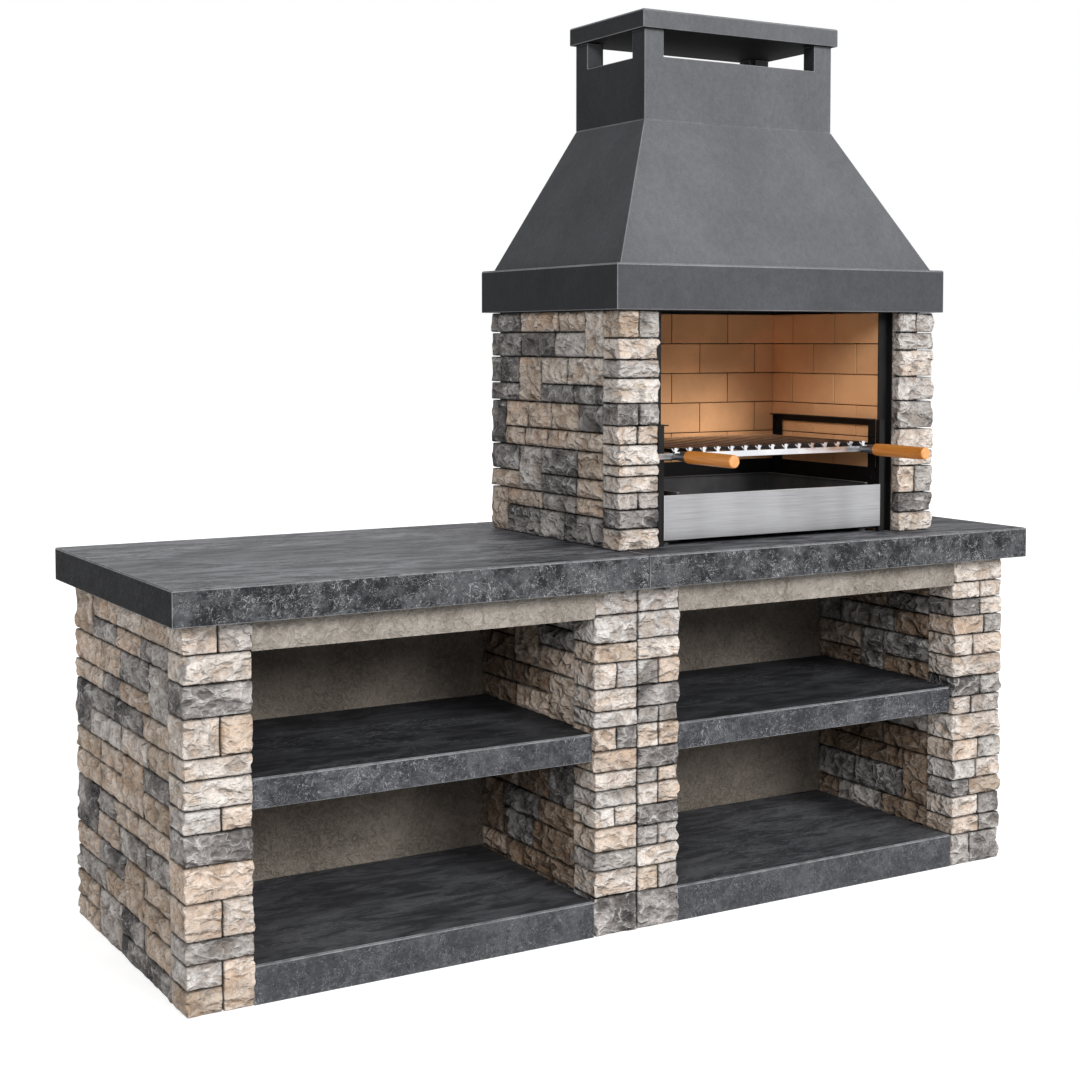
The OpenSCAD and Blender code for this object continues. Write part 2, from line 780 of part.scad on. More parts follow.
// Rack: two uprights, a lower rail whose ledge carries the grill, and an upper rail
module rack_right() {
    rail_y = bar_y;
    upright_h = upper_rail_z - upright_z;
    color(black_steel) difference() {
        union() {
            for (y = [rack_y, rear_upright_y])
                translate([upright_x, y, upright_z]) cube([steel_t, upright_w, upright_h]);
            translate([plate_x - upright_flange, rack_end_y - steel_t, upright_z])
                cube([upright_flange, steel_t, upright_h]);
            translate([plate_x - upper_rail_w, rack_y, upper_rail_z - steel_t])
                cube([upper_rail_w, rack_end_y - rack_y, steel_t]);
            translate([upright_x, rack_y, upper_rail_z - rail_flange])
                cube([steel_t, rack_end_y - rack_y, rail_flange]);
            translate([ledge_x, rail_y, ledge_z])
                cube([plate_x - ledge_x, rack_end_y - rail_y, steel_t]);
            translate([upright_x, rack_y, ledge_z])
                cube([steel_t, rack_end_y - rack_y, rail_flange + steel_t]);
        }
        bolt_holes();
    }
}
module rack_left() {
    mirrored() rack_right();
}

// Places of the bolts on the right side
module at_bolts() {
    top_bolt_z = upper_rail_z - rail_flange - top_bolt_drop;
    for (y = [rack_y, rear_upright_y], z = [top_z + low_bolt_h, top_bolt_z])
        translate([upright_x, y + bolt_offset, z]) rotate([0, 90, 0]) children();
}
module bolt_holes() {
    at_bolts() translate([0, 0, -cut])
        cylinder(r = bolt_hole_r, h = lining_x - upright_x + bolt_bite + cut, $fn = 32);
}
module bolts_right() {
    at_bolts() {
        translate([0, 0, -bolt_head_h]) cylinder(r = bolt_head_r, h = bolt_head_h, $fn = 6);
        cylinder(r = bolt_r, h = lining_x - upright_x + bolt_bite - cut, $fn = 32);
    }
}
module rack_bolts() {
    color(bare_steel) {
        bolts_right();
        mirrored() bolts_right();
    }
}

// Ember tray: a folded sheet box, open at the top, with a rim along its sides and back
module ember_tray() {
    inner_w = tray_w - 2 * tray_t;
    inner_d = tray_d - 2 * tray_t;
    color(black_steel) difference() {
        translate([tray_x, front_back_y, tray_z]) cube([tray_w, tray_d, tray_h]);
        translate([tray_x + tray_t, front_back_y + tray_t, tray_z + tray_t])
            cube([inner_w, inner_d, tray_h]);
        translate([tray_x - cut, front_back_y - cut, tray_z + tray_front_h])
            cube([tray_w + 2 * cut, tray_t + cut, tray_h]);
        at_studs() cylinder(d = stud_d + 2 * stud_play, h = tray_t + 2 * cut, $fn = 32);
    }
    color(black_steel) tray_rim_strip();
}
module tray_rim_strip() {
    rim_z = tray_z + tray_h - tray_t;
    for (x = [tray_x + tray_t, tray_end_x - tray_t - tray_rim])
        translate([x, front_back_y + tray_t, rim_z]) cube([tray_rim, tray_d - 2 * tray_t, tray_t]);
    translate([tray_x + tray_t, front_back_y + tray_d - tray_t - tray_rim, rim_z])
        cube([tray_w - 2 * tray_t, tray_rim, tray_t]);
}
module at_studs() {
    pitch = (tray_w - 2 * stud_inset) / (stud_count - 1);
    stud_z = tray_z + tray_front_h / 2;
    for (i = [0:stud_count - 1])
        translate([tray_x + stud_inset + i * pitch, front_back_y, stud_z])
            rotate([-90, 0, 0]) children();
}

// Front panel, which shuts against the posts
module drawer_front() {
    panel_x = plate_x + front_overlap;
    color(bare_steel) translate([2 * opening_mid_x - panel_x, front_back_y - front_t, front_z])
        cube([2 * (panel_x - opening_mid_x), front_t, front_h]);
}

// Studs on the back of the front panel, with their nuts inside the tray
module drawer_studs() {
    color(bare_steel) at_studs() {
        cylinder(d = stud_d, h = stud_l, $fn = 32);
        translate([0, 0, tray_t]) cylinder(d = stud_nut_d, h = stud_nut_h, $fn = 6);
    }
}

// Grill: bars across the front and the rear, and channels between them
module grill_bars() {
    color(bare_steel) {
        translate([grill_mid_x - front_bar_half, bar_y, grill_z])
            cube([2 * front_bar_half, bar_d, bar_h]);
        translate([grill_mid_x - rear_bar_half, rear_bar_y, grill_z])
            cube([2 * rear_bar_half, bar_d, bar_h]);
    }
}
module channel() {
    half = channel_w / 2;
    t = channel_t;
    valley = 1.5 * t;
    channel_l = rear_bar_y + bar_d - bar_y;
    translate([0, bar_y + channel_l, grill_z + bar_h]) rotate([90, 0, 0])
        linear_extrude(channel_l - tab_t) polygon([
            [-t, 0], [t, 0], [half, channel_h - t], [half, channel_h],
            [half - t, channel_h], [0, valley], [t - half, channel_h],
            [-half, channel_h], [-half, channel_h - t]
        ]);
    translate([-tab_w / 2, bar_y, grill_z + bar_h]) cube([tab_w, tab_t, channel_h + channel_t]);
}
module grill_channels() {
    first_x = grill_mid_x - channel_span / 2;
    color(bare_steel) for (i = [0:channel_gaps])
        translate([first_x + i * channel_step, 0, 0]) channel();
}

// Places of the two handles, with Z running from the front bar towards the user
module at_handles() {
    reach = front_bar_half - handle_inset;
    for (x = [grill_mid_x - reach, grill_mid_x + reach])
        translate([x, bar_y, handle_z]) rotate([90, 0, 0]) children();
}
module handle_rods() {
    color(bare_steel) at_handles() cylinder(d = rod_d, h = ferrule_l + rod_bite, $fn = 32);
}
module handle_ferrules() {
    color(bare_steel) at_handles() difference() {
        cylinder(d1 = ferrule_tip_d, d2 = ferrule_d, h = ferrule_l, $fn = 48);
        translate([0, 0, -cut])
            cylinder(d = rod_d + 2 * rod_play, h = ferrule_l + 2 * cut, $fn = 32);
    }
}

// Wooden grip with rounded edges and a blind bore for its rod
module grip(side) {
    r = grip_d / 2;
    reach = side * (front_bar_half - handle_inset);
    color(wood_colour) translate([grill_mid_x + reach, grip_y, handle_z]) rotate([90, 0, 0])
        difference() {
            rotate_extrude($fn = 64) union() {
                square([r - grip_round, grip_l]);
                translate([0, grip_round]) square([r, grip_l - 2 * grip_round]);
                for (z = [grip_round, grip_l - grip_round])
                    translate([r - grip_round, z]) circle(r = grip_round, $fn = 32);
            }
            translate([0, 0, -cut])
                cylinder(d = rod_d + 2 * rod_play, h = rod_bite + 2 * cut, $fn = 32);
        }
}
module grip_left() { grip(-1); }
module grip_right() { grip(1); }

wall_core_left_outer();
wall_core_left_inner();
wall_core_right_inner();
wall_core_right_outer();
head_stones_left_outer();
head_stones_left_inner();
head_stones_right_inner();
head_stones_right_outer();
end_stones_left();
end_stones_right();
bay_stones_left_outer();
bay_stones_left_inner();
bay_stones_right_inner();
bay_stones_right_outer();
base_slab_left();
base_slab_right();
shelf_left();
shelf_right();
back_panel_left();
back_panel_right();
lintel_left();
lintel_right();
worktop_left();
worktop_right();
fire_core_left();
fire_core_right();
fire_core_back();
fire_head_stones_left();
fire_head_stones_right();
fire_side_stones_left();
fire_side_stones_right();
firebricks_left();
firebricks_right();
firebricks_back();
hood_skirt();
hood_cone();
chimney_block();
chimney_cap();
jamb_angle_left();
jamb_angle_right();
front_post_left();
front_post_right();
side_plate_left();
side_plate_right();
back_plate();
insert_feet();
runner_left();
runner_right();
rack_left();
rack_right();
rack_bolts();
ember_tray();
drawer_front();
drawer_studs();
grill_bars();
grill_channels();
handle_rods();
handle_ferrules();
grip_left();
grip_right();
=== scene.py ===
import math
import random

import bmesh
import bpy
import numpy as np
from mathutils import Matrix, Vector, noise

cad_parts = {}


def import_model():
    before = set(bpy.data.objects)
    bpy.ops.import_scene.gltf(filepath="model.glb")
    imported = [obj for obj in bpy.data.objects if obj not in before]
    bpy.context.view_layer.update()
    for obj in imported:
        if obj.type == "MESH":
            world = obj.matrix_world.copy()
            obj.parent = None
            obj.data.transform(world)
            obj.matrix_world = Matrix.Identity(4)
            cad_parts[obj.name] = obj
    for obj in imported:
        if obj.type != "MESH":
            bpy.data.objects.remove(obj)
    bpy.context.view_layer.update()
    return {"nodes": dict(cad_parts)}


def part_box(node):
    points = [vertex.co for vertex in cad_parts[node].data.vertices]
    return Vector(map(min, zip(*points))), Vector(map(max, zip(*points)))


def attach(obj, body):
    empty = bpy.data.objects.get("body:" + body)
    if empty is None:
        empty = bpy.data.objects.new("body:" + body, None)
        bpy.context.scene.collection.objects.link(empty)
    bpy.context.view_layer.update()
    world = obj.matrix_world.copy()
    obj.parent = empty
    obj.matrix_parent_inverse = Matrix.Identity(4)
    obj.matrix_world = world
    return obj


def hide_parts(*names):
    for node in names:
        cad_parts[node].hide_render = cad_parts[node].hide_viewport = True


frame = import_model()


# Colours and shader helpers

def linear(red, green, blue):
    """Linear colour of an sRGB colour given from 0 to 255."""
    shares = [c / 255 for c in (red, green, blue)]
    return tuple(c / 12.92 if c <= 0.04045 else ((c + 0.055) / 1.055) ** 2.4 for c in shares)


def rgba(colour):
    return (*colour, 1.0)


class Surface:
    """A material in the making: each call adds a node and gives back its output."""

    def __init__(self, name, roughness, metallic=0.0, **sockets):
        self.material = bpy.data.materials.new(name)
        self.material.use_nodes = True
        self.tree = self.material.node_tree
        self.shader = self.tree.nodes["Principled BSDF"]
        self.shader.inputs["Roughness"].default_value = roughness
        self.shader.inputs["Metallic"].default_value = metallic
        for key, value in sockets.items():
            self.shader.inputs[key.replace("_", " ")].default_value = value
        self.place = self.add("TexCoord").outputs["Object"]

    def add(self, kind, sockets=None, **settings):
        """A new node; a socket is given a value, or another node's output to link to."""
        made = self.tree.nodes.new("ShaderNode" + kind)
        for key, value in settings.items():
            setattr(made, key, value)
        for key, value in (sockets or {}).items():
            if isinstance(value, bpy.types.NodeSocket):
                self.tree.links.new(value, made.inputs[key])
            else:
                made.inputs[key].default_value = value
        return made

    def stretched(self, x, y, z):
        """The object's own coordinates, scaled along each axis."""
        return self.add("Mapping", {"Vector": self.place, "Scale": (x, y, z)}).outputs[0]

    def noise(self, scale, detail=4.0, rough=0.55, distortion=0.0, place=None):
        """Noise from 0 to 1, in the object's own coordinates or in those of a place."""
        return self.add("TexNoise", {
            "Vector": place or self.place, "Scale": scale, "Detail": detail,
            "Roughness": rough, "Distortion": distortion}).outputs["Fac"]

    def attribute(self, name, output="Fac"):
        """What the mesh's vertices say under a name."""
        return self.add("Attribute", attribute_name=name).outputs[output]

    def span(self, value, low, high, to_low=0.0, to_high=1.0):
        """The value, eased from one range to another and kept within it."""
        return self.add("MapRange", {
            "Value": value, "From Min": low, "From Max": high, "To Min": to_low,
            "To Max": to_high}, interpolation_type="SMOOTHSTEP").outputs["Result"]

    def math(self, operation, a, b=0.0):
        """One step of arithmetic."""
        return self.add("Math", {0: a, 1: b}, operation=operation).outputs[0]

    def mix(self, share, a, b, blend="MIX"):
        """Colour a with a share of colour b."""
        a, b = (rgba(c) if isinstance(c, tuple) else c for c in (a, b))
        return self.add("Mix", {0: share, 6: a, 7: b}, data_type="RGBA",
                        blend_type=blend).outputs[2]

    def shade(self, colour, factor):
        """The colour times a grey value."""
        grey = self.add("CombineColor", {0: factor, 1: factor, 2: factor}).outputs[0]
        return self.mix(1.0, colour, grey, "MULTIPLY")

    def facing(self, axis):
        """How far the surface itself faces along an axis, from 0 to 1."""
        parts = self.add("SeparateXYZ", {0: self.add("NewGeometry").outputs["True Normal"]})
        return self.math("ABSOLUTE", parts.outputs[axis])

    def bump(self, height, distance, strength=1.0, base=None):
        """The surface's direction, tilted by a height, and by a base that was tilted before."""
        sockets = {"Height": height, "Distance": distance, "Strength": strength}
        if base:
            sockets["Normal"] = base
        return self.add("Bump", sockets).outputs[0]

    def creases(self, scale, detail=3.0, distortion=1.2, place=None):
        """Distance of a noise from its middle value: 0 along thin winding lines."""
        value = self.noise(scale, detail, 0.5, distortion, place)
        return self.math("ABSOLUTE", self.math("SUBTRACT", value, 0.5))

    def finish(self, colour=None, normal=None, roughness=None):
        """Links what is given to the shader and gives back the material."""
        for key, value in (("Base Color", colour), ("Normal", normal), ("Roughness", roughness)):
            if value is not None:
                self.tree.links.new(value, self.shader.inputs[key])
        return self.material


# Materials

def stone_material():
    """Split stone in the tone of its vertices: painted shade in the hollows between winding ridges,
    and pale broken lines along them, painted highlights which on the stones that are veined are
    also their veins, and strong. The vertices' values add painted shade to low parts and joints."""
    s = Surface("split_stone", 0.9, Specular_IOR_Level=0.15)
    vein = s.attribute("vein")
    place = s.stretched(1, 1, 1.5)
    broad = s.creases(15, 2.5, 0.35, place)
    small = s.creases(44, 2.5, 0.4, place)
    cloud = s.span(s.noise(15, 5), 0.30, 0.70, 0.90, 1.08)
    grain = s.span(s.noise(120, 5, 0.7), 0.30, 0.70, 0.90, 1.08)
    colour = s.shade(s.attribute("tone", "Vector"), s.math("MULTIPLY", cloud, grain))
    # Painted shade in the creases: warm on pale stones, grey on veined ones.
    warm_crease_shade, grey_crease_shade = linear(224, 206, 188), linear(138, 138, 142)
    crease_shade_colour = s.mix(vein, warm_crease_shade, grey_crease_shade)
    crease_shade = s.span(s.math("ADD", broad, s.math("MULTIPLY", small, 0.5)), 0.04, 0.22, 0.0, 0.66)
    colour = s.mix(crease_shade, colour, s.mix(1.0, colour, crease_shade_colour, "MULTIPLY"))
    # Painted highlights along the crease ridges of every stone, which on the veined stones are also
    # their pale veins.
    lines = s.math("MAXIMUM", s.span(broad, 0.0, 0.024, 1.0, 0.0),
                   s.span(small, 0.0, 0.026, 0.45, 0.0))
    lines = s.math("MULTIPLY", lines, s.span(s.noise(17, 3, 0.6), 0.36, 0.54))
    warm_ridge_highlight, grey_vein_and_highlight = linear(255, 248, 240), linear(222, 221, 218)
    light = s.mix(vein, warm_ridge_highlight, grey_vein_and_highlight)
    colour = s.mix(s.math("MULTIPLY", lines, s.span(vein, 0.0, 1.0, 0.28, 0.74)), colour, light)
    # Painted shade from the vertices' values: the low parts of the faces and the joints darkened.
    colour = s.shade(colour, s.span(s.attribute("painted_shade"), 0.0, 1.0, 0.34, 1.05))
    height = s.math("ADD", s.math("MULTIPLY", broad, -0.076), s.math("MULTIPLY", small, -0.019))
    normal = s.bump(height, 1.0)
    return s.finish(colour, s.bump(s.noise(190, 5, 0.7), 0.0014, 0.7, normal))


def rough_slab_material(name, dark, light, flecks):
    """Broken edge of a dark slab: blotches, pits, and two sizes of pale winding flecks."""
    pit_colour = linear(30, 31, 34)
    s = Surface(name, 0.74, Specular_IOR_Level=0.1)
    ground = s.math("ADD", s.noise(11, 4, 0.6), s.math("MULTIPLY", s.noise(58, 5, 0.75), 0.9))
    colour = s.mix(s.span(ground, 0.80, 1.12), linear(*dark), linear(*light))
    for scale, width, share in ((30, 0.016, 0.75), (62, 0.024, 0.65)):
        lines = s.span(s.creases(scale, 3.5, 2.0), 0.002, width, 1.0, 0.0)
        place = s.span(s.noise(scale * 0.55, 4, 0.7), 0.42, 0.60)
        colour = s.mix(s.math("MULTIPLY", lines, s.math("MULTIPLY", place, share)), colour,
                       linear(*flecks))
    pits = s.span(s.noise(80, 4, 0.75), 0.56, 0.70, 0.0, 0.60)
    colour = s.mix(pits, colour, pit_colour)
    normal = s.bump(s.math("MULTIPLY", s.creases(60), -0.010), 1.0)
    return s.finish(colour, s.bump(s.noise(160, 5, 0.7), 0.0012, 0.6, normal))


def arris_highlight_material():
    """Paler edge between a slab's faces: painted highlight along the rounded edge, paler still in
    patches where it is worn.
    """
    dark, pale = linear(104, 105, 108), linear(146, 147, 150)
    s = Surface("slab_arris_highlight", 0.7, Specular_IOR_Level=0.2)
    wear = s.span(s.noise(30, 4, 0.7), 0.30, 0.66)
    return s.finish(s.mix(wear, dark, pale), s.bump(s.noise(200, 4, 0.7), 0.0006, 0.5))


def honed_slab_material(name, dark, light, patchy):
    """Smooth top of a dark slab, streaked along its length; patchy sets its veins and clouds."""
    vein_colour = linear(176, 177, 181)
    s = Surface(name, 0.56, Specular_IOR_Level=0.03)
    streaks = s.noise(1.0, 6, 0.74, 0.8, s.stretched(6, 18, 18))
    patches = s.noise(1.0, 5, 0.62, 0.6, s.stretched(2.2, 6, 6))
    colour = s.mix(s.span(streaks, 0.38, 0.64), linear(*dark), linear(*light))
    colour = s.shade(colour, s.span(patches, 0.34, 0.66, 1.0 - patchy, 1.0 + 0.8 * patchy))
    veins = s.span(s.creases(1.0, 5.0, 2.0, s.stretched(11, 24, 24)), 0.0, 0.030, 1.8 * patchy, 0.0)
    veins = s.math("MULTIPLY", veins, s.span(patches, 0.42, 0.60))
    colour = s.mix(veins, colour, vein_colour)
    rough = s.span(streaks, 0.3, 0.7, 0.50, 0.62)
    return s.finish(colour, s.bump(s.noise(260, 4, 0.65), 0.0004, 0.5), rough)


def concrete_material(name, dark, light, pale):
    """Trowelled concrete with fine wrinkles and pale specks."""
    s = Surface(name, 0.9, Specular_IOR_Level=0.12)
    colour = s.mix(s.span(s.noise(7, 5, 0.6), 0.34, 0.68), linear(*dark), linear(*light))
    wrinkles = s.creases(42, 3.0, 1.4)
    colour = s.mix(s.span(wrinkles, 0.0, 0.030, 0.40, 0.0), colour, linear(*pale))
    colour = s.shade(colour, s.span(wrinkles, 0.04, 0.16, 1.03, 0.88))
    colour = s.mix(s.span(s.noise(150, 4, 0.7), 0.56, 0.72, 0.0, 0.5), colour, linear(*pale))
    normal = s.bump(s.math("MULTIPLY", wrinkles, -0.016), 1.0)
    return s.finish(colour, s.bump(s.noise(110, 5, 0.65), 0.0014, 0.6, normal))


def brick_material():
    """Firebrick in the tint of its vertices, with painted shade down in the joints."""
    clay, dark_speck, pale_speck = linear(233, 176, 126), linear(172, 114, 74), linear(246, 204, 160)
    s = Surface("firebrick", 0.86, Specular_IOR_Level=0.2)
    tone = s.span(s.attribute("tint"), 0.0, 1.0, 0.86, 1.30)
    cloud = s.span(s.noise(9, 4, 0.6), 0.32, 0.70, 0.92, 1.07)
    colour = s.shade(clay, s.math("MULTIPLY", tone, cloud))
    specks = s.span(s.noise(210, 3, 0.7), 0.62, 0.72, 0.0, 0.45)
    colour = s.mix(specks, colour, dark_speck)
    pale = s.span(s.noise(140, 3, 0.6), 0.64, 0.74, 0.0, 0.4)
    colour = s.mix(pale, colour, pale_speck)
    # Painted shade down in the joints, from the vertices' depth values.
    colour = s.shade(colour, s.span(s.attribute("groove"), 0.0, 1.0, 1.0, 0.30))
    normal = s.bump(s.noise(240, 4, 0.6), 0.0006, 0.6)
    return s.finish(colour, s.bump(s.noise(18, 3), 0.002, 0.4, normal))


def casting_material(name, dark, light):
    """Dark cast concrete of the hood, finely grained."""
    s = Surface(name, 0.8, Specular_IOR_Level=0.1)
    cloud = s.noise(4.2, 5, 0.62, 0.3)
    colour = s.mix(s.span(cloud, 0.32, 0.70), linear(*dark), linear(*light))
    grain = s.span(s.noise(260, 4, 0.7), 0.30, 0.70, 0.90, 1.10)
    strokes = s.noise(1.0, 4, 0.65, 0.5, s.stretched(80, 80, 50))
    colour = s.shade(colour, s.math("MULTIPLY", grain, s.span(strokes, 0.3, 0.7, 0.93, 1.07)))
    normal = s.bump(s.noise(190, 5, 0.65), 0.0009, 0.5)
    return s.finish(colour, s.bump(strokes, 0.0016, 0.5, normal))


def steel_material(name, low, high, roughness, metallic=0.0, scratches=0.4, gloss=0.5):
    """Painted or bare steel with faint scratches."""
    s = Surface(name, roughness, metallic, Specular_IOR_Level=gloss)
    cloud = s.span(s.noise(11, 4, 0.6), 0.32, 0.70)
    colour = s.mix(cloud, linear(*low), linear(*high))
    marks = s.noise(1.0, 3, 0.6, 0.2, s.stretched(60, 60, 900))
    normal = s.bump(marks, 0.0002, scratches)
    rough = s.span(s.noise(24, 4, 0.6), 0.3, 0.7, roughness - 0.05, roughness + 0.07)
    return s.finish(colour, normal, rough)


def brushed_material():
    """Steel brushed along its length, with broad soft bands of light."""
    dark, light = linear(150, 150, 152), linear(174, 174, 176)
    s = Surface("brushed_steel", 0.34, 1.0, Anisotropic=0.5)
    lines = s.noise(1.0, 5, 0.65, 0.0, s.stretched(7, 500, 900))
    broad = s.noise(1.0, 2, 0.5, 0.0, s.stretched(6, 5, 1.2))
    colour = s.mix(s.span(lines, 0.3, 0.7), dark, light)
    colour = s.shade(colour, s.span(broad, 0.34, 0.66, 0.86, 1.10))
    normal = s.bump(lines, 0.0002, 0.35)
    return s.finish(colour, normal, s.span(lines, 0.3, 0.7, 0.30, 0.42))


def wood_material():
    """Varnished wood with fibres along Y, and paler ends."""
    dark_band, light_band, fibre_colour = linear(224, 137, 54), linear(242, 161, 75), linear(176, 98, 34)
    pale_end, dark_ring = linear(244, 178, 112), linear(222, 148, 82)
    s = Surface("varnished_wood", 0.34, Coat_Weight=0.35, Coat_Roughness=0.22)
    fibres = s.noise(1.0, 6, 0.65, 0.6, s.stretched(190, 9, 190))
    bands = s.noise(1.0, 3, 0.5, 0.8, s.stretched(60, 5, 60))
    side = s.mix(s.span(bands, 0.32, 0.68), dark_band, light_band)
    side = s.mix(s.span(fibres, 0.50, 0.72, 0.0, 0.45), side, fibre_colour)
    rings = s.noise(1.0, 4, 0.6, 1.0, s.stretched(150, 4, 60))
    end = s.mix(s.span(rings, 0.35, 0.65), pale_end, dark_ring)
    colour = s.mix(s.span(s.facing(1), 0.75, 0.95), side, end)
    return s.finish(colour, s.bump(fibres, 0.0003, 0.4))


STONE = stone_material()
ROUGH_SLAB = rough_slab_material("rough_slab", (45, 46, 49), (92, 93, 96), (192, 193, 196))
SHELF_SLAB = rough_slab_material("shelf_slab", (62, 63, 67), (93, 94, 98), (168, 169, 174))
BASE_SLAB = rough_slab_material("base_slab", (70, 71, 74), (93, 94, 98), (142, 143, 147))
# Darker copy of the slab for its ends: painted shade on the slabs' sides.
SHADED_SLAB_END = rough_slab_material("shaded_slab_end", (19, 20, 22), (33, 33, 36), (80, 81, 84))
ARRIS_HIGHLIGHT = arris_highlight_material()
HONED_SLAB = honed_slab_material("honed_slab", (48, 49, 53), (129, 130, 135), 0.24)
# Darker copies of the honed top: painted shade for the tops in the bays and for the undersides of the
# shelves and worktops.
SHADED_HONED_BASE = honed_slab_material("shaded_honed_base", (63, 64, 68), (100, 101, 105), 0.10)
SHADED_HONED_SHELF = honed_slab_material("shaded_honed_shelf", (44, 45, 48), (74, 75, 79), 0.10)
CONCRETE = concrete_material("pale_concrete", (146, 138, 128), (170, 162, 153), (198, 191, 183))
# Darker copy of the concrete for the back panels: painted shade deep in the bays.
SHADED_PANEL = concrete_material("shaded_panel_concrete", (120, 112, 103), (143, 134, 124), (172, 162, 150))
BRICK = brick_material()
CASTING = casting_material("anthracite_casting", (104, 105, 108), (114, 115, 119))
SKIRT = casting_material("skirt_casting", (80, 81, 84), (89, 90, 94))
# Darker copy of the casting for the ends of the hood's skirt and of the chimney: painted shade on their
# sides.
SHADED_CASTING = casting_material("shaded_casting", (52, 53, 55), (60, 61, 64))
# Paler copy of the casting for the rounded edges of the hood and chimney: painted highlight along them.
CAST_EDGE_HIGHLIGHT = casting_material("casting_edge_highlight", (126, 127, 130), (150, 151, 154))
# Near-black casting for the undersides of the hood cone and the chimney pieces.
DARKEST_CASTING = casting_material("darkest_casting", (14, 14, 15), (24, 24, 25))
BLACK_STEEL = steel_material("black_steel", (15, 14, 14), (22, 21, 21), 0.5, gloss=0.2)
GREY_STEEL = steel_material("tray_steel", (82, 82, 84), (102, 102, 104), 0.40, 0.3)
# Paler steel for the rounded rims of the ember tray: painted highlight along them.
TRAY_RIM_HIGHLIGHT = steel_material("tray_rim_highlight", (118, 118, 120), (140, 140, 142), 0.36, 0.3)
SATIN = steel_material("satin_steel", (104, 105, 108), (128, 129, 132), 0.32, 0.7, 0.2)
BRIGHT = steel_material("bright_steel", (214, 214, 217), (230, 230, 232), 0.20, 1.0, 0.2)
BRUSHED = brushed_material()
WOOD = wood_material()


# Mesh helpers

WELD_DIGITS = 5  # corners that agree to so many decimals of a metre are one
TOUCHING = 5e-4  # groups of faces whose boxes lie closer than this are one solid
EDGE_CUTS = (0.0014, 0.0042)  # how far the outer cuts of a block lie from its ends
PLANE_MARGIN = 0.001  # a carved plane lies at least this far from a block's ends
CUT_GAP = 0.0015  # and at least this far from the block's other cuts


def new_piece(name, node, vertices, faces, material, body="barbecue"):
    """A mesh object that stands for a CAD node, with the node's material slot and body."""
    mesh = bpy.data.meshes.new(name)
    mesh.from_pydata([tuple(v) for v in vertices], [], faces)
    mesh.materials.append(material)
    mesh.polygons.foreach_set("use_smooth", [True] * len(mesh.polygons))
    piece = bpy.data.objects.new(name, mesh)
    bpy.context.scene.collection.objects.link(piece)
    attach(piece, body)
    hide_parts(node)
    return piece


def solids_of(node):
    """Lowest and highest corner of each separate solid of a CAD node, from the bottom up."""
    mesh = frame["nodes"][node].data
    points = np.array([v.co for v in mesh.vertices])
    _, joined = np.unique(np.round(points, WELD_DIGITS), axis=0, return_inverse=True)
    joined = joined.ravel()
    parent = list(range(joined.max() + 1))

    def root(i):
        while parent[i] != i:
            parent[i] = parent[parent[i]]
            i = parent[i]
        return i

    for face in mesh.polygons:
        first = root(joined[face.vertices[0]])
        for corner in face.vertices[1:]:
            parent[root(joined[corner])] = first
    groups = {}
    for i, place in enumerate(joined):
        groups.setdefault(root(place), []).append(i)
    boxes = []
    for group in groups.values():
        low, high = points[group].min(0), points[group].max(0)
        touching = [b for b in boxes
                    if np.all(b[0] < high + TOUCHING) and np.all(low < b[1] + TOUCHING)]
        boxes = [b for b in boxes if not any(b is t for t in touching)]
        boxes.append((np.min([low] + [t[0] for t in touching], 0),
                      np.max([high] + [t[1] for t in touching], 0)))
    return sorted(boxes, key=lambda b: (round(b[0][2], 3), round(b[0][0], 3), b[0][1]))


def grid_lines(low, high, step, planes=()):
    """Cuts across one side of a block: close together near its ends, wider between them."""
    near, far = EDGE_CUTS
    count = max(1, round((high - low - 2 * far) / step))
    lines = [low, low + near, *np.linspace(low + far, high - far, count + 1), high - near, high]
    planes = [p for p in planes if low + PLANE_MARGIN < p < high - PLANE_MARGIN]
    lines = [v for v in lines if all(abs(v - p) > CUT_GAP for p in planes)] + planes
    return np.array(sorted(lines))


def outline_loops(quads):
    """Closed loops round a set of faces that lie in one plane."""
    edges = {(q[i], q[(i + 1) % 4]) for q in quads for i in range(4)}
    follow = {a: b for a, b in edges if (b, a) not in edges}
    loops = []
    while follow:
        start, here = follow.popitem()
        loop = [start]
        while here != start:
            loop.append(here)
            here = follow.pop(here)
        loops.append(loop)
    return loops


def side_quads(filled, axis, sign, sizes):
    """Outer faces of the filled cells that look along an axis, each after its plane's number."""
    b, c = (axis + 1) % 3, (axis + 2) % 3
    cells = np.pad(np.moveaxis(filled, (axis, b, c), (0, 1, 2)), ((1, 1), (0, 0), (0, 0)))
    solid, other = (cells[:-1], cells[1:]) if sign > 0 else (cells[1:], cells[:-1])
    for i, j, k in np.argwhere(solid & ~other):
        corners = []
        for dj, dk in ((0, 0), (1, 0), (1, 1), (0, 1)):
            index = [0, 0, 0]
            index[axis], index[b], index[c] = i, j + dj, k + dk
            corners.append((index[0] * sizes[1] + index[1]) * sizes[2] + index[2])
        yield i, tuple(corners if sign > 0 else corners[::-1])


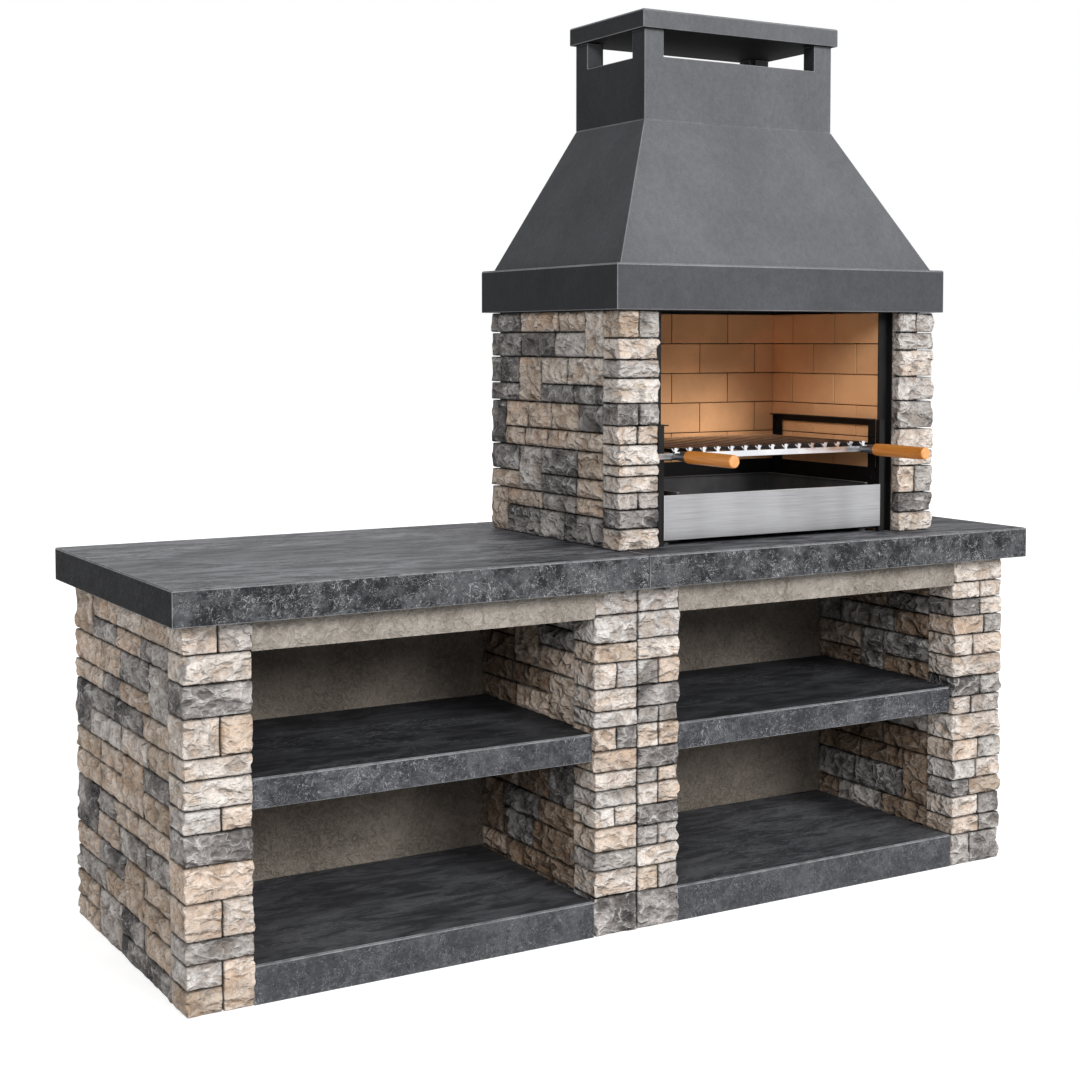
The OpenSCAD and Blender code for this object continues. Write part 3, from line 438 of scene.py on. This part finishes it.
def block_grid(low, high, step, carve, hidden):
    """Vertices and faces of a block cut into a fine grid, less the box that it is carved round.
    Faces against the wall behind it, on the carved planes or a hidden side, become one face."""
    planes = [[carve[0][a], carve[1][a]] if carve else [] for a in range(3)]
    lines = [grid_lines(low[a], high[a], step, planes[a]) for a in range(3)]
    middles = [(v[:-1] + v[1:]) / 2 for v in lines]
    mesh = np.meshgrid(*middles, indexing="ij")
    filled = np.ones(mesh[0].shape, bool)
    if carve:
        filled &= ~np.all([(mesh[a] > carve[0][a]) & (mesh[a] < carve[1][a]) for a in range(3)],
                          axis=0)
    sizes = [len(v) for v in lines]
    faces, merged = [], []
    for a in range(3):
        for sign in (1, -1):
            groups = {}
            for i, quad in side_quads(filled, a, sign, sizes):
                place = lines[a][i]
                inner = carve and low[a] + PLANE_MARGIN < place < high[a] - PLANE_MARGIN
                if inner or (a, sign) == hidden:
                    groups.setdefault(i, []).append(quad)
                else:
                    faces.append(quad)
            for quads in groups.values():
                merged += outline_loops(quads)
    faces += merged
    used = sorted({i for f in faces for i in f})
    index = {old: new for new, old in enumerate(used)}
    every = np.array(used)
    points = np.stack([lines[0][every // (sizes[1] * sizes[2])],
                       lines[1][every // sizes[2] % sizes[1]], lines[2][every % sizes[2]]], 1)
    return points, [[index[i] for i in f] for f in faces]


def rounded(points, low, high, radius, hidden=None):
    """Points of a block's surface, moved onto rounded edges; a hidden side keeps its edges."""
    inset_low = np.repeat(radius[:, None], 3, 1)
    inset_high = inset_low.copy()
    if hidden:
        (inset_high if hidden[1] > 0 else inset_low)[:, hidden[0]] = 0
    core = np.clip(points, low + inset_low, high - inset_high)
    away = points - core
    length = np.linalg.norm(away, axis=1)
    share = np.minimum(1.0, radius / np.maximum(length, 1e-9))
    return core + away * share[:, None]


def place_of(box, side):
    """Where a side of a box, given as axis and direction, lies along its axis."""
    axis, sign = side
    return box[1 if sign > 0 else 0][axis]


def vertex_values(piece, name, values):
    """Gives each vertex a number that the piece's material reads."""
    piece.data.attributes.new(name, "FLOAT", "POINT").data.foreach_set(
        "value", np.hstack(values).astype(np.float32))


def wave(points, scale, seed):
    """Smooth noise from -1 to 1 at each point."""
    offset = Vector((seed * 3.7, seed * 1.9, seed * 5.3))
    return np.array([noise.noise(Vector(p) * scale + offset) for p in points])


# Stones

STONE_TONES = {  # two colours that each kind of stone runs between, and how far it is veined
    "w": (linear(242, 236, 230), linear(229, 219, 210), 0.0),
    "c": (linear(244, 235, 227), linear(222, 210, 200), 0.0),
    "t": (linear(239, 223, 209), linear(212, 194, 178), 0.0),
    "o": (linear(238, 222, 209), linear(217, 196, 177), 0.0),
    "l": (linear(226, 221, 217), linear(204, 197, 193), 0.2),
    "g": (linear(218, 212, 207), linear(158, 153, 150), 0.5),
    "d": (linear(198, 191, 187), linear(105, 101, 100), 1.0),
    "u": (linear(224, 208, 192), linear(193, 176, 160), 0.1),
    # Kind b is drawn only for the bays: its brown is the stones' own, its darkness is painted shade for
    # the dim bays.
    "b": (linear(170, 149, 129), linear(138, 118, 101), 0.1),
}

# Kinds that the stones of the other facings are drawn from
# The bays' mix is mostly kind b, whose darkness is painted shade.
MIXES = {"end": "tttooocuuuulgddddd", "bay": "bbbbbbbuuogdddd", "fire": "cctttttooooulgddddd"}

# Kinds of the stones in each column, from the bottom up and left to right
COLUMNS = {
    "head_stones_left_outer": "utlgtcodltwccodwcl",
    "head_stones_left_inner": "dcgtwclcttdlcclull",
    "head_stones_right_inner": "dugcgldwtgtdctggdgocll",
    "head_stones_right_outer": "gdtgcddulctgccldgccttgdcccc",
    "fire_head_stones_left": "cdllccwctddwlcug",
    "fire_head_stones_right": "cdtgccglcgll",
}

# Sides that each facing shows, as axis and direction, and the wall that its stones wrap
FACINGS = {
    "head_stones_left_outer": (((1, -1), (0, -1), (0, 1)), "wall_core_left_outer"),
    "head_stones_left_inner": (((1, -1), (0, -1)), "wall_core_left_inner"),
    "head_stones_right_inner": (((1, -1), (0, 1)), "wall_core_right_inner"),
    "head_stones_right_outer": (((1, -1), (0, -1), (0, 1)), "wall_core_right_outer"),
    "fire_head_stones_left": (((1, -1), (0, -1), (0, 1)), "fire_core_left"),
    "fire_head_stones_right": (((1, -1), (0, 1), (0, -1)), "fire_core_right"),
    "end_stones_left": (((0, -1),), None),
    "end_stones_right": (((0, 1),), None),
    "bay_stones_left_outer": (((0, 1),), None),
    "bay_stones_left_inner": (((0, -1),), None),
    "bay_stones_right_inner": (((0, 1),), None),
    "bay_stones_right_outer": (((0, -1),), None),
    "fire_side_stones_left": (((0, -1),), None),
    "fire_side_stones_right": (((0, 1),), None),
}

WRAP_DEPTH = 0.05  # stones deeper than this wrap round their wall
SAME_PLANE = 0.002  # a stone's side is shown if it lies this close to its facing's outline
SLACK = 0.01  # how far the box that a stone is carved round reaches past the stone
FACING_SEEDS = 1000  # the first facing's random seed

GRID_STEP = 0.0062
EDGE_RADIUS = 0.0038
RADIUS_SHARES = (0.85, 0.5)  # the radius's mean and swing along an edge, as shares of it
RADIUS_WAVES = 45
LEAST_RADIUS = 0.0015
MOST_RADIUS = 0.3  # as a share of the stone's smallest size
HEAD_PILLOW = 0.0020  # how far a pillar's stones fall towards their edges
SIDE_PILLOW = 0.0042  # and those of the other facings
EDGE_FADE = 0.014  # width of the band in which they fall
FACET_SHARE_AT_EDGE = 0.25  # what is left of the facets and cracks at the edges
FACE_REACH = 0.012  # depth to which a face's relief bends the sides of its stone
RETURN_RELIEF = 0.6  # how rough a corner stone's side is, as a share of its front
DEEPEST, HIGHEST = -0.0060, 0.0025  # limits of a face's relief
CRACK_DEPTH = 0.0028
CRACK_WAVES = 62
CRACK_SEED = 17
# The stones carry painted shade in a vertex value: darker where a face lies low, in a band along its
# joints, and darkest on the joints' sides.
DARKEST_HEIGHT = -0.0065  # height at which a face is at its darkest
DARKEST_SHADE = 0.45
SHADE_RISE = 0.0085  # how far above that height it is at its palest
JOINT_BAND = 0.003  # width of the darker band along a stone's joints
JOINT_SHADE = 0.4
WARP = 0.0009  # how far whole stones are out of true
WARP_WAVES = 40
WARP_SEED, WARP_SEED_STEP = 21, 8
TONE_SHARES = (0.5, 0.9)  # mean and swing between a kind's two colours
TONE_WAVES = 11
BRIGHTNESS = (0.93, 1.05)  # range of the stones' own brightness

FACET_LENGTH = 0.034
FACET_HEIGHT = 0.026
FACET_MIDDLE = (0.1, 0.9)  # where a facet's middle may lie in its share of the face
FACET_BLEND = 0.0075
UP_BLEND = 1.6  # how much sharper facets blend up the stone than along it
LEAST_WEIGHT = 1e-12
FACET_STEP = (-0.0030, 0.0018)  # range of the facets' middle heights
SLOPE_ALONG = (0.24, 0.45)  # spread and limit of their slopes along the stone
SLOPE_UP = (0.36, 0.60)  # and up the stone


def slope(dice, spread, limit):
    """How steep a facet is along one direction."""
    return np.clip(dice.gauss(0, spread), -limit, limit)


def facets(along, up, size, dice):
    """Height of a split face: tilted planes side by side, blended over a few millimetres."""
    count = [max(1, round(size[0] / FACET_LENGTH)), max(1, round(size[1] / FACET_HEIGHT))]
    total = weights = 0.0
    for i in range(count[0]):
        for j in range(count[1]):
            middle = ((i + dice.uniform(*FACET_MIDDLE)) * size[0] / count[0],
                      (j + dice.uniform(*FACET_MIDDLE)) * size[1] / count[1])
            a, u = along - middle[0], up - middle[1]
            plane = (dice.uniform(*FACET_STEP) + slope(dice, *SLOPE_ALONG) * a
                     + slope(dice, *SLOPE_UP) * u)
            apart = a ** 2 + UP_BLEND * u ** 2
            weight = np.exp(-apart / (2 * FACET_BLEND ** 2)) + LEAST_WEIGHT
            total = total + weight * plane
            weights = weights + weight
    return total / weights


def face_height(spots, along, up, size, edge, pillow, seed, dice):
    """Height of a shown face at each spot: facets and fine cracks that fade out towards its
    edges, where the face falls by the pillow's depth."""
    inner = np.clip(edge / EDGE_FADE, 0, 1)
    inner = inner * inner * (3 - 2 * inner)
    cracks = CRACK_DEPTH * (0.5 - abs(wave(spots, CRACK_WAVES, seed + CRACK_SEED)))
    left = FACET_SHARE_AT_EDGE + (1 - FACET_SHARE_AT_EDGE) * inner
    return (facets(along, up, size, dice) + cracks) * left - pillow * (1 - inner)


def split_stone(low, high, sides, carve, pillow, dice):
    """One split-faced stone: vertices, faces, and each vertex's painted shade from 0, darkest, to 1."""
    seed = dice.uniform(0, 60)
    hidden = None if carve else (sides[0][0], -sides[0][1])
    flat, faces = block_grid(low, high, GRID_STEP, carve, hidden)
    mean, swing = RADIUS_SHARES
    radius = EDGE_RADIUS * (mean + swing * wave(flat, RADIUS_WAVES, seed))
    radius = np.clip(radius, LEAST_RADIUS, min(high - low) * MOST_RADIUS)
    points = rounded(flat, low, high, radius, hidden)
    painted_shade = np.zeros(len(flat))
    for axis, sign in sides:
        depth = sign * (place_of((low, high), (axis, sign)) - flat[:, axis])
        near = np.clip(1 - depth / FACE_REACH, 0, 1)
        shown = np.flatnonzero(near > 0)
        along_axis = 1 - axis
        along = flat[shown, along_axis] - low[along_axis]
        up = flat[shown, 2] - low[2]
        size = high[along_axis] - low[along_axis], high[2] - low[2]
        edge = np.minimum(up, size[1] - up)
        for end, distance in ((-1, along), (1, size[0] - along)):
            if (along_axis, end) not in sides:
                edge = np.minimum(edge, distance)
        height = face_height(flat[shown], along, up, size, edge, pillow, seed, dice)
        if axis == 0 and len(sides) > 1:
            height = height * RETURN_RELIEF
        height = np.clip(height, DEEPEST, HIGHEST)
        points[shown, axis] += sign * near[shown] * height
        # Painted shade: darker where the face lies low and along its joints; the joints' sides, beyond
        # the face's reach, keep the darkest value.
        shade = DARKEST_SHADE + (1 - DARKEST_SHADE) * np.clip(
            (height - DARKEST_HEIGHT) / SHADE_RISE, 0, 1)
        shade *= JOINT_SHADE + (1 - JOINT_SHADE) * np.clip(edge / JOINT_BAND, 0, 1)
        painted_shade[shown] = painted_shade[shown] * (1 - near[shown]) + shade * near[shown]
    shifts = [wave(flat, WARP_WAVES, seed + WARP_SEED + WARP_SEED_STEP * i) for i in range(3)]
    points += WARP * np.stack(shifts, 1)
    return points, faces, painted_shade


def carving(low, high, core_box, inward):
    """Box that a stone wrapped round its wall is carved round: the wall, reaching out behind,
    above and below the stone, and on the inward side if the stone wraps only one corner."""
    first, last = np.maximum(core_box[0], low - SLACK), np.minimum(core_box[1], high + SLACK)
    first[2] = low[2] - SLACK
    last[1:] = high[1:] + SLACK
    if inward > 0:
        last[0] = high[0] + SLACK
    elif inward < 0:
        first[0] = low[0] - SLACK
    return first, last


def stone_tone(points, kind, dice):
    """Colour of each vertex of a stone, running between its kind's two colours."""
    first, second, _ = STONE_TONES[kind]
    mean, swing = TONE_SHARES
    blend = np.clip(mean + swing * wave(points, TONE_WAVES, dice.uniform(0, 90)), 0, 1)[:, None]
    return (np.array(first) * (1 - blend) + np.array(second) * blend) * dice.uniform(*BRIGHTNESS)


def stone_facing(node, number):
    """All stones of one facing, joined into one piece."""
    dice = random.Random(FACING_SEEDS + number)
    sides, core = FACINGS[node]
    node_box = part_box(node)
    core_box = [np.array(v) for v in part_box(core)] if core else None
    kinds = COLUMNS.get(node)
    pillow = HEAD_PILLOW if core else SIDE_PILLOW
    one_corner = core and ("inner" in node or node.startswith("fire"))
    inward = -sides[1][1] if one_corner else 0
    points, faces, painted_shade, tones, veins = [], [], [], [], []
    start = 0
    for i, (low, high) in enumerate(solids_of(node)):
        shown = [side for side in sides
                 if not core or abs(place_of((low, high), side) - place_of(node_box, side))
                 < SAME_PLANE]
        wraps = core and high[1] - low[1] > WRAP_DEPTH
        carve = carving(low, high, core_box, inward) if wraps else None
        kind = kinds[i] if kinds else dice.choice(MIXES[node.split("_")[0]])
        block, block_faces, block_painted_shade = split_stone(low, high, shown, carve, pillow, dice)
        points.append(block)
        faces += [[v + start for v in f] for f in block_faces]
        painted_shade.append(block_painted_shade)
        tones.append(stone_tone(block, kind, dice))
        veins.append(np.full(len(block), STONE_TONES[kind][2]))
        start += len(block)
    piece = new_piece(node.replace("stones", "split_stones"), node, np.vstack(points), faces, STONE)
    piece.data.attributes.new("tone", "FLOAT_VECTOR", "POINT").data.foreach_set(
        "vector", np.vstack(tones).astype(np.float32).ravel())
    vertex_values(piece, "painted_shade", painted_shade)
    vertex_values(piece, "vein", veins)


# Firebricks

BRICK_STEP = 0.030
BRICK_WEAR = 0.0018  # mean radius of the worn edges
WEAR_SWING = 0.5
WEAR_WAVES = 70
TINT_SPREAD = 0.28
# Painted shade in the brick joints: a brick's sides darken with depth below its face.
JOINT_DEPTH = 0.004  # how far down in a joint the brick is at its darkest
BRICK_SEEDS = 2000


def brick_lining(node, side, number, tint):
    """Firebricks with softened, slightly worn edges; side is the shown axis and direction, and
    tint the mean tone of the bricks, from 0, dark, to 1."""
    dice = random.Random(BRICK_SEEDS + number)
    axis, sign = side
    hidden = (axis, -sign)
    points, faces, tints, joint_shades = [], [], [], []
    start = 0
    for low, high in solids_of(node):
        flat, block_faces = block_grid(low, high, BRICK_STEP, None, hidden)
        depth = sign * (place_of((low, high), side) - flat[:, axis])
        joint_shades.append(np.clip(depth / JOINT_DEPTH, 0, 1))
        wear = BRICK_WEAR * (1 + WEAR_SWING * wave(flat, WEAR_WAVES, number))
        block = rounded(flat, low, high, wear, hidden)
        points.append(block)
        faces += [[v + start for v in f] for f in block_faces]
        tints.append(np.full(len(block), tint + dice.uniform(-TINT_SPREAD, TINT_SPREAD)))
        start += len(block)
    piece = new_piece(node + "_lining", node, np.vstack(points), faces, BRICK)
    vertex_values(piece, "tint", tints)
    vertex_values(piece, "groove", joint_shades)


# Softened copies and turned pieces

WELD = 1e-5
FLAT_ANGLE = 0.01  # radians; faces that meet at less than this become one
SHARP_ANGLE = 0.4  # radians; edges below this are left as they are
SHORTEST_EDGE = 0.02  # and so are shorter edges
EDGE_SEGMENTS = 2
TOP_FACING, END_FACING = 0.9, 0.8  # how far a top faces up or down, and an end along X
TURNED_SIDES = 64
ARC_STEPS = 6


def softened(node, width, materials, body="barbecue"):
    """A copy of a CAD node with its long edges rounded off. The materials are for its faces and
    its rounded edges, and if there are more, for its tops, its ends and its undersides."""
    mesh = bpy.data.meshes.new(node + "_soft")
    work = bmesh.new()
    work.from_mesh(frame["nodes"][node].data)
    bmesh.ops.remove_doubles(work, verts=work.verts, dist=WELD)
    bmesh.ops.dissolve_limit(work, angle_limit=FLAT_ANGLE, verts=work.verts, edges=work.edges)
    for face in work.faces:
        level, across = abs(face.normal.z) > TOP_FACING, abs(face.normal.x) > END_FACING
        kind = (4 if face.normal.z < 0 else 2) if level else 3 if across else 0
        face.material_index = kind if len(materials) > 2 else 0
        face.smooth = False
    sharp = [e for e in work.edges
             if len(e.link_faces) == 2 and e.calc_face_angle() > SHARP_ANGLE
             and e.calc_length() > SHORTEST_EDGE]
    bmesh.ops.bevel(work, geom=sharp, offset=width, segments=EDGE_SEGMENTS, profile=0.5,
                    affect="EDGES", clamp_overlap=True, material=1, harden_normals=False)
    work.to_mesh(mesh)
    work.free()
    for material in materials:
        mesh.materials.append(material)
    piece = bpy.data.objects.new(node + "_soft", mesh)
    bpy.context.scene.collection.objects.link(piece)
    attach(piece, body)
    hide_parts(node)


def turned(name, node, profiles, material):
    """Pieces turned about lines along Y. A profile is a centre and a list of radii and places."""
    sides = TURNED_SIDES
    points, faces = [], []
    for centre, profile in profiles:
        start = len(points)
        for radius, y in profile:
            points += [(centre[0] + radius * math.cos(2 * math.pi * i / sides), y,
                        centre[1] + radius * math.sin(2 * math.pi * i / sides))
                       for i in range(sides)]
        for ring in range(len(profile) - 1):
            for i in range(sides):
                a, b = start + ring * sides + i, start + ring * sides + (i + 1) % sides
                faces.append([a, b, b + sides, a + sides])
        last = start + (len(profile) - 1) * sides
        faces.append([start + i for i in reversed(range(sides))])
        faces.append([last + i for i in range(sides)])
    piece = new_piece(name, node, points, faces, material, body="grill")
    mesh = piece.data
    mesh.polygons.foreach_set("use_smooth", [len(p.vertices) == 4 for p in mesh.polygons])


def arc(radius, turn, y):
    """Points of a rounded edge, from the rim of the end at y to the side."""
    angles = [math.pi / 2 * i / ARC_STEPS for i in range(ARC_STEPS + 1)]
    return [(radius - turn + turn * math.sin(a), y + turn * (1 - math.cos(a))) for a in angles]


def ferrules(node):
    """The two steel ferrules, narrower at the grill and widest where they hold the grips."""
    low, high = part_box(node)
    radius = (high.z - low.z) / 2
    profile = [(radius * share, low.y + (high.y - low.y) * place) for share, place in (
        (0.93, 0.0), (0.98, 0.012), (1.0, 0.05), (1.0, 0.10), (0.97, 0.16), (0.90, 0.45),
        (0.80, 0.80), (0.76, 0.95), (0.72, 0.985), (0.64, 1.0))]
    middles = [(x, (low.z + high.z) / 2) for x in (low.x + radius, high.x - radius)]
    turned(node + "_turned", node, [(m, profile) for m in middles], SATIN)


GRIP_TURN = 0.0042  # radius of the rounded ends
GRIP_SWELL = 0.0006
GRIP_STEPS = 72
RING_DEPTH = 0.0007
RING_WIDTH = 0.0026
RING_PLACE = 0.68  # as a share of the length, from the free end


def grip(node):
    """A varnished wooden grip with rounded ends, a slight swell and a turned groove."""
    low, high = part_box(node)
    radius = (high.x - low.x) / 2 - GRIP_SWELL
    centre = ((low.x + high.x) / 2, (low.z + high.z) / 2)
    length = high.y - low.y
    end = arc(radius, GRIP_TURN, low.y)
    profile = list(end)
    for i in range(1, GRIP_STEPS):
        share = i / GRIP_STEPS
        swell = GRIP_SWELL * math.sin(math.pi * share) ** 0.5
        ring = RING_DEPTH * math.exp(-((share - RING_PLACE) * length / RING_WIDTH) ** 2)
        profile.append((radius + swell - ring,
                        low.y + GRIP_TURN + share * (length - 2 * GRIP_TURN)))
    profile += [(r, high.y + low.y - y) for r, y in reversed(end)]
    turned(node + "_turned", node, [(centre, profile)], WOOD)


# Dressing the model

CAST_ROUNDING = 0.0018
SLAB_ROUNDING = 0.0016
FRONT_ROUNDING = 0.0008
TRAY_ROUNDING = 0.0005

# CAD nodes that are shown as they are, under their materials
PLAIN = {
    CONCRETE: ("wall_core_left_outer", "wall_core_left_inner", "wall_core_right_inner",
               "wall_core_right_outer", "lintel_left", "lintel_right", "fire_core_left",
               "fire_core_right", "fire_core_back"),
    SHADED_PANEL: ("back_panel_left", "back_panel_right"),
    BLACK_STEEL: ("jamb_angle_left", "jamb_angle_right", "front_post_left", "front_post_right",
                  "side_plate_left", "side_plate_right", "back_plate", "runner_left",
                  "runner_right", "rack_left", "rack_right", "rack_bolts"),
    GREY_STEEL: ("insert_feet",),
    BRIGHT: ("drawer_studs", "grill_bars", "grill_channels", "handle_rods"),
}

for number, node in enumerate(sorted(FACINGS)):
    stone_facing(node, number)
# The side linings' paler mean tint is painted light, making up for the light that the firebox's side
# walls lack.
brick_lining("firebricks_left", (0, 1), 1, 0.85)
brick_lining("firebricks_right", (0, -1), 2, 0.85)
brick_lining("firebricks_back", (1, -1), 3, 0.5)
# The skirt's and chimney's ends take the darker casting, and the cone's ends the darker skirt casting:
# painted shade on their sides.
softened("hood_skirt", CAST_ROUNDING, (SKIRT, CAST_EDGE_HIGHLIGHT, SKIRT, SHADED_CASTING, SKIRT))
softened("hood_cone", CAST_ROUNDING, (CASTING, CAST_EDGE_HIGHLIGHT, CASTING, SKIRT, DARKEST_CASTING))
for node in ("chimney_block", "chimney_cap"):
    softened(node, CAST_ROUNDING, (CASTING, CAST_EDGE_HIGHLIGHT, CASTING, SHADED_CASTING, DARKEST_CASTING))
for side in ("left", "right"):
    softened("base_slab_" + side, SLAB_ROUNDING,
             (BASE_SLAB, ARRIS_HIGHLIGHT, SHADED_HONED_BASE, SHADED_SLAB_END, CONCRETE))
    softened("shelf_" + side, SLAB_ROUNDING,
             (SHELF_SLAB, ARRIS_HIGHLIGHT, SHADED_HONED_SHELF, SHADED_SLAB_END, SHADED_HONED_SHELF))
    softened("worktop_" + side, SLAB_ROUNDING,
             (ROUGH_SLAB, ARRIS_HIGHLIGHT, HONED_SLAB, SHADED_SLAB_END, SHADED_HONED_SHELF))
# The drawer front's rounded edges take the bright steel: painted highlight along them.
softened("drawer_front", FRONT_ROUNDING, (BRUSHED, BRIGHT), "ember_drawer")
softened("ember_tray", TRAY_ROUNDING, (GREY_STEEL, TRAY_RIM_HIGHLIGHT), "ember_drawer")
ferrules("handle_ferrules")
for node in ("grip_left", "grip_right"):
    grip(node)

for material, nodes in PLAIN.items():
    for node in nodes:
        made = frame["nodes"][node]
        if made.material_slots:
            for place in made.material_slots:
                place.material = material
        else:
            made.data.materials.append(material)


# Floor, light and camera

def shown_ray(tree):
    """1 for rays that show the background: from the camera, off gloss and through glass."""
    path = tree.nodes.new("ShaderNodeLightPath")
    value = path.outputs["Is Camera Ray"]
    for key in ("Is Glossy Ray", "Is Transmission Ray"):
        both = tree.nodes.new("ShaderNodeMath")
        both.operation = "MAXIMUM"
        tree.links.new(value, both.inputs[0])
        tree.links.new(path.outputs[key], both.inputs[1])
        value = both.outputs[0]
    return value


def floor():
    """Plain pale floor, which glows a little so that it meets the background unseen."""
    half, drop, grey, glow_strength = 30.0, -0.0005, 0.8, 0.72
    mesh = bpy.data.meshes.new("floor")
    mesh.from_pydata([(-half, -half, drop), (half, -half, drop), (half, half, drop),
                      (-half, half, drop)], [], [(0, 1, 2, 3)])
    ground = bpy.data.objects.new("floor", mesh)
    bpy.context.scene.collection.objects.link(ground)
    material = bpy.data.materials.new("pale_floor")
    material.use_nodes = True
    tree = material.node_tree
    tree.nodes.clear()
    diffuse = tree.nodes.new("ShaderNodeBsdfDiffuse")
    diffuse.inputs["Color"].default_value = (grey, grey, grey, 1)
    glow = tree.nodes.new("ShaderNodeEmission")
    both = tree.nodes.new("ShaderNodeAddShader")
    out = tree.nodes.new("ShaderNodeOutputMaterial")
    power = tree.nodes.new("ShaderNodeMath")
    power.operation = "MULTIPLY"
    power.inputs[1].default_value = glow_strength
    tree.links.new(shown_ray(tree), power.inputs[0])
    tree.links.new(power.outputs[0], glow.inputs["Strength"])
    tree.links.new(diffuse.outputs[0], both.inputs[0])
    tree.links.new(glow.outputs[0], both.inputs[1])
    tree.links.new(both.outputs[0], out.inputs["Surface"])
    mesh.materials.append(material)


def world(ambient):
    """White background that lights the part with the ambient strength."""
    made = bpy.data.worlds.new("studio")
    bpy.context.scene.world = made
    made.use_nodes = True
    tree = made.node_tree
    back = tree.nodes["Background"]
    back.inputs["Color"].default_value = (1, 1, 1, 1)
    level = tree.nodes.new("ShaderNodeMapRange")
    level.inputs["To Min"].default_value = ambient
    level.inputs["To Max"].default_value = 1.0
    tree.links.new(shown_ray(tree), level.inputs["Value"])
    tree.links.new(level.outputs["Result"], back.inputs["Strength"])


def sun(name, direction, strength, angle):
    """Light from a direction, as soft as a disc that is so many degrees wide."""
    light = bpy.data.lights.new(name, "SUN")
    light.energy = strength
    light.angle = math.radians(angle)
    lamp = bpy.data.objects.new(name, light)
    bpy.context.scene.collection.objects.link(lamp)
    lamp.rotation_mode = "QUATERNION"
    lamp.rotation_quaternion = Vector(direction).to_track_quat("Z", "Y")


def camera():
    """Camera fitted to the photo, whose upright edges are parallel by the lens's shift."""
    pixels = 1080
    focal_pixels = 1778.0
    centre_row = 432.4
    sensor_width = 36.0
    eye = (-2.3053, -3.8650, 1.4022)
    pitch, heading = 3.0, 30.416
    data = bpy.data.cameras.new("camera")
    made = bpy.data.objects.new("camera", data)
    bpy.context.scene.collection.objects.link(made)
    data.sensor_width = sensor_width
    data.lens = focal_pixels / pixels * sensor_width
    data.shift_y = (centre_row - pixels / 2) / pixels
    made.location = eye
    made.rotation_euler = (math.radians(90 - pitch), 0.0, math.radians(-heading))
    bpy.context.scene.camera = made


floor()
world(0.22)
sun("key", (0.28, -0.87, 0.40), 2.25, 22)
sun("fill", (-0.68, -0.62, 0.39), 1.08, 22)
sun("back", (0.30, 0.87, 0.38), 0.45, 40)
camera()
bpy.context.scene.view_settings.view_transform = "Standard"
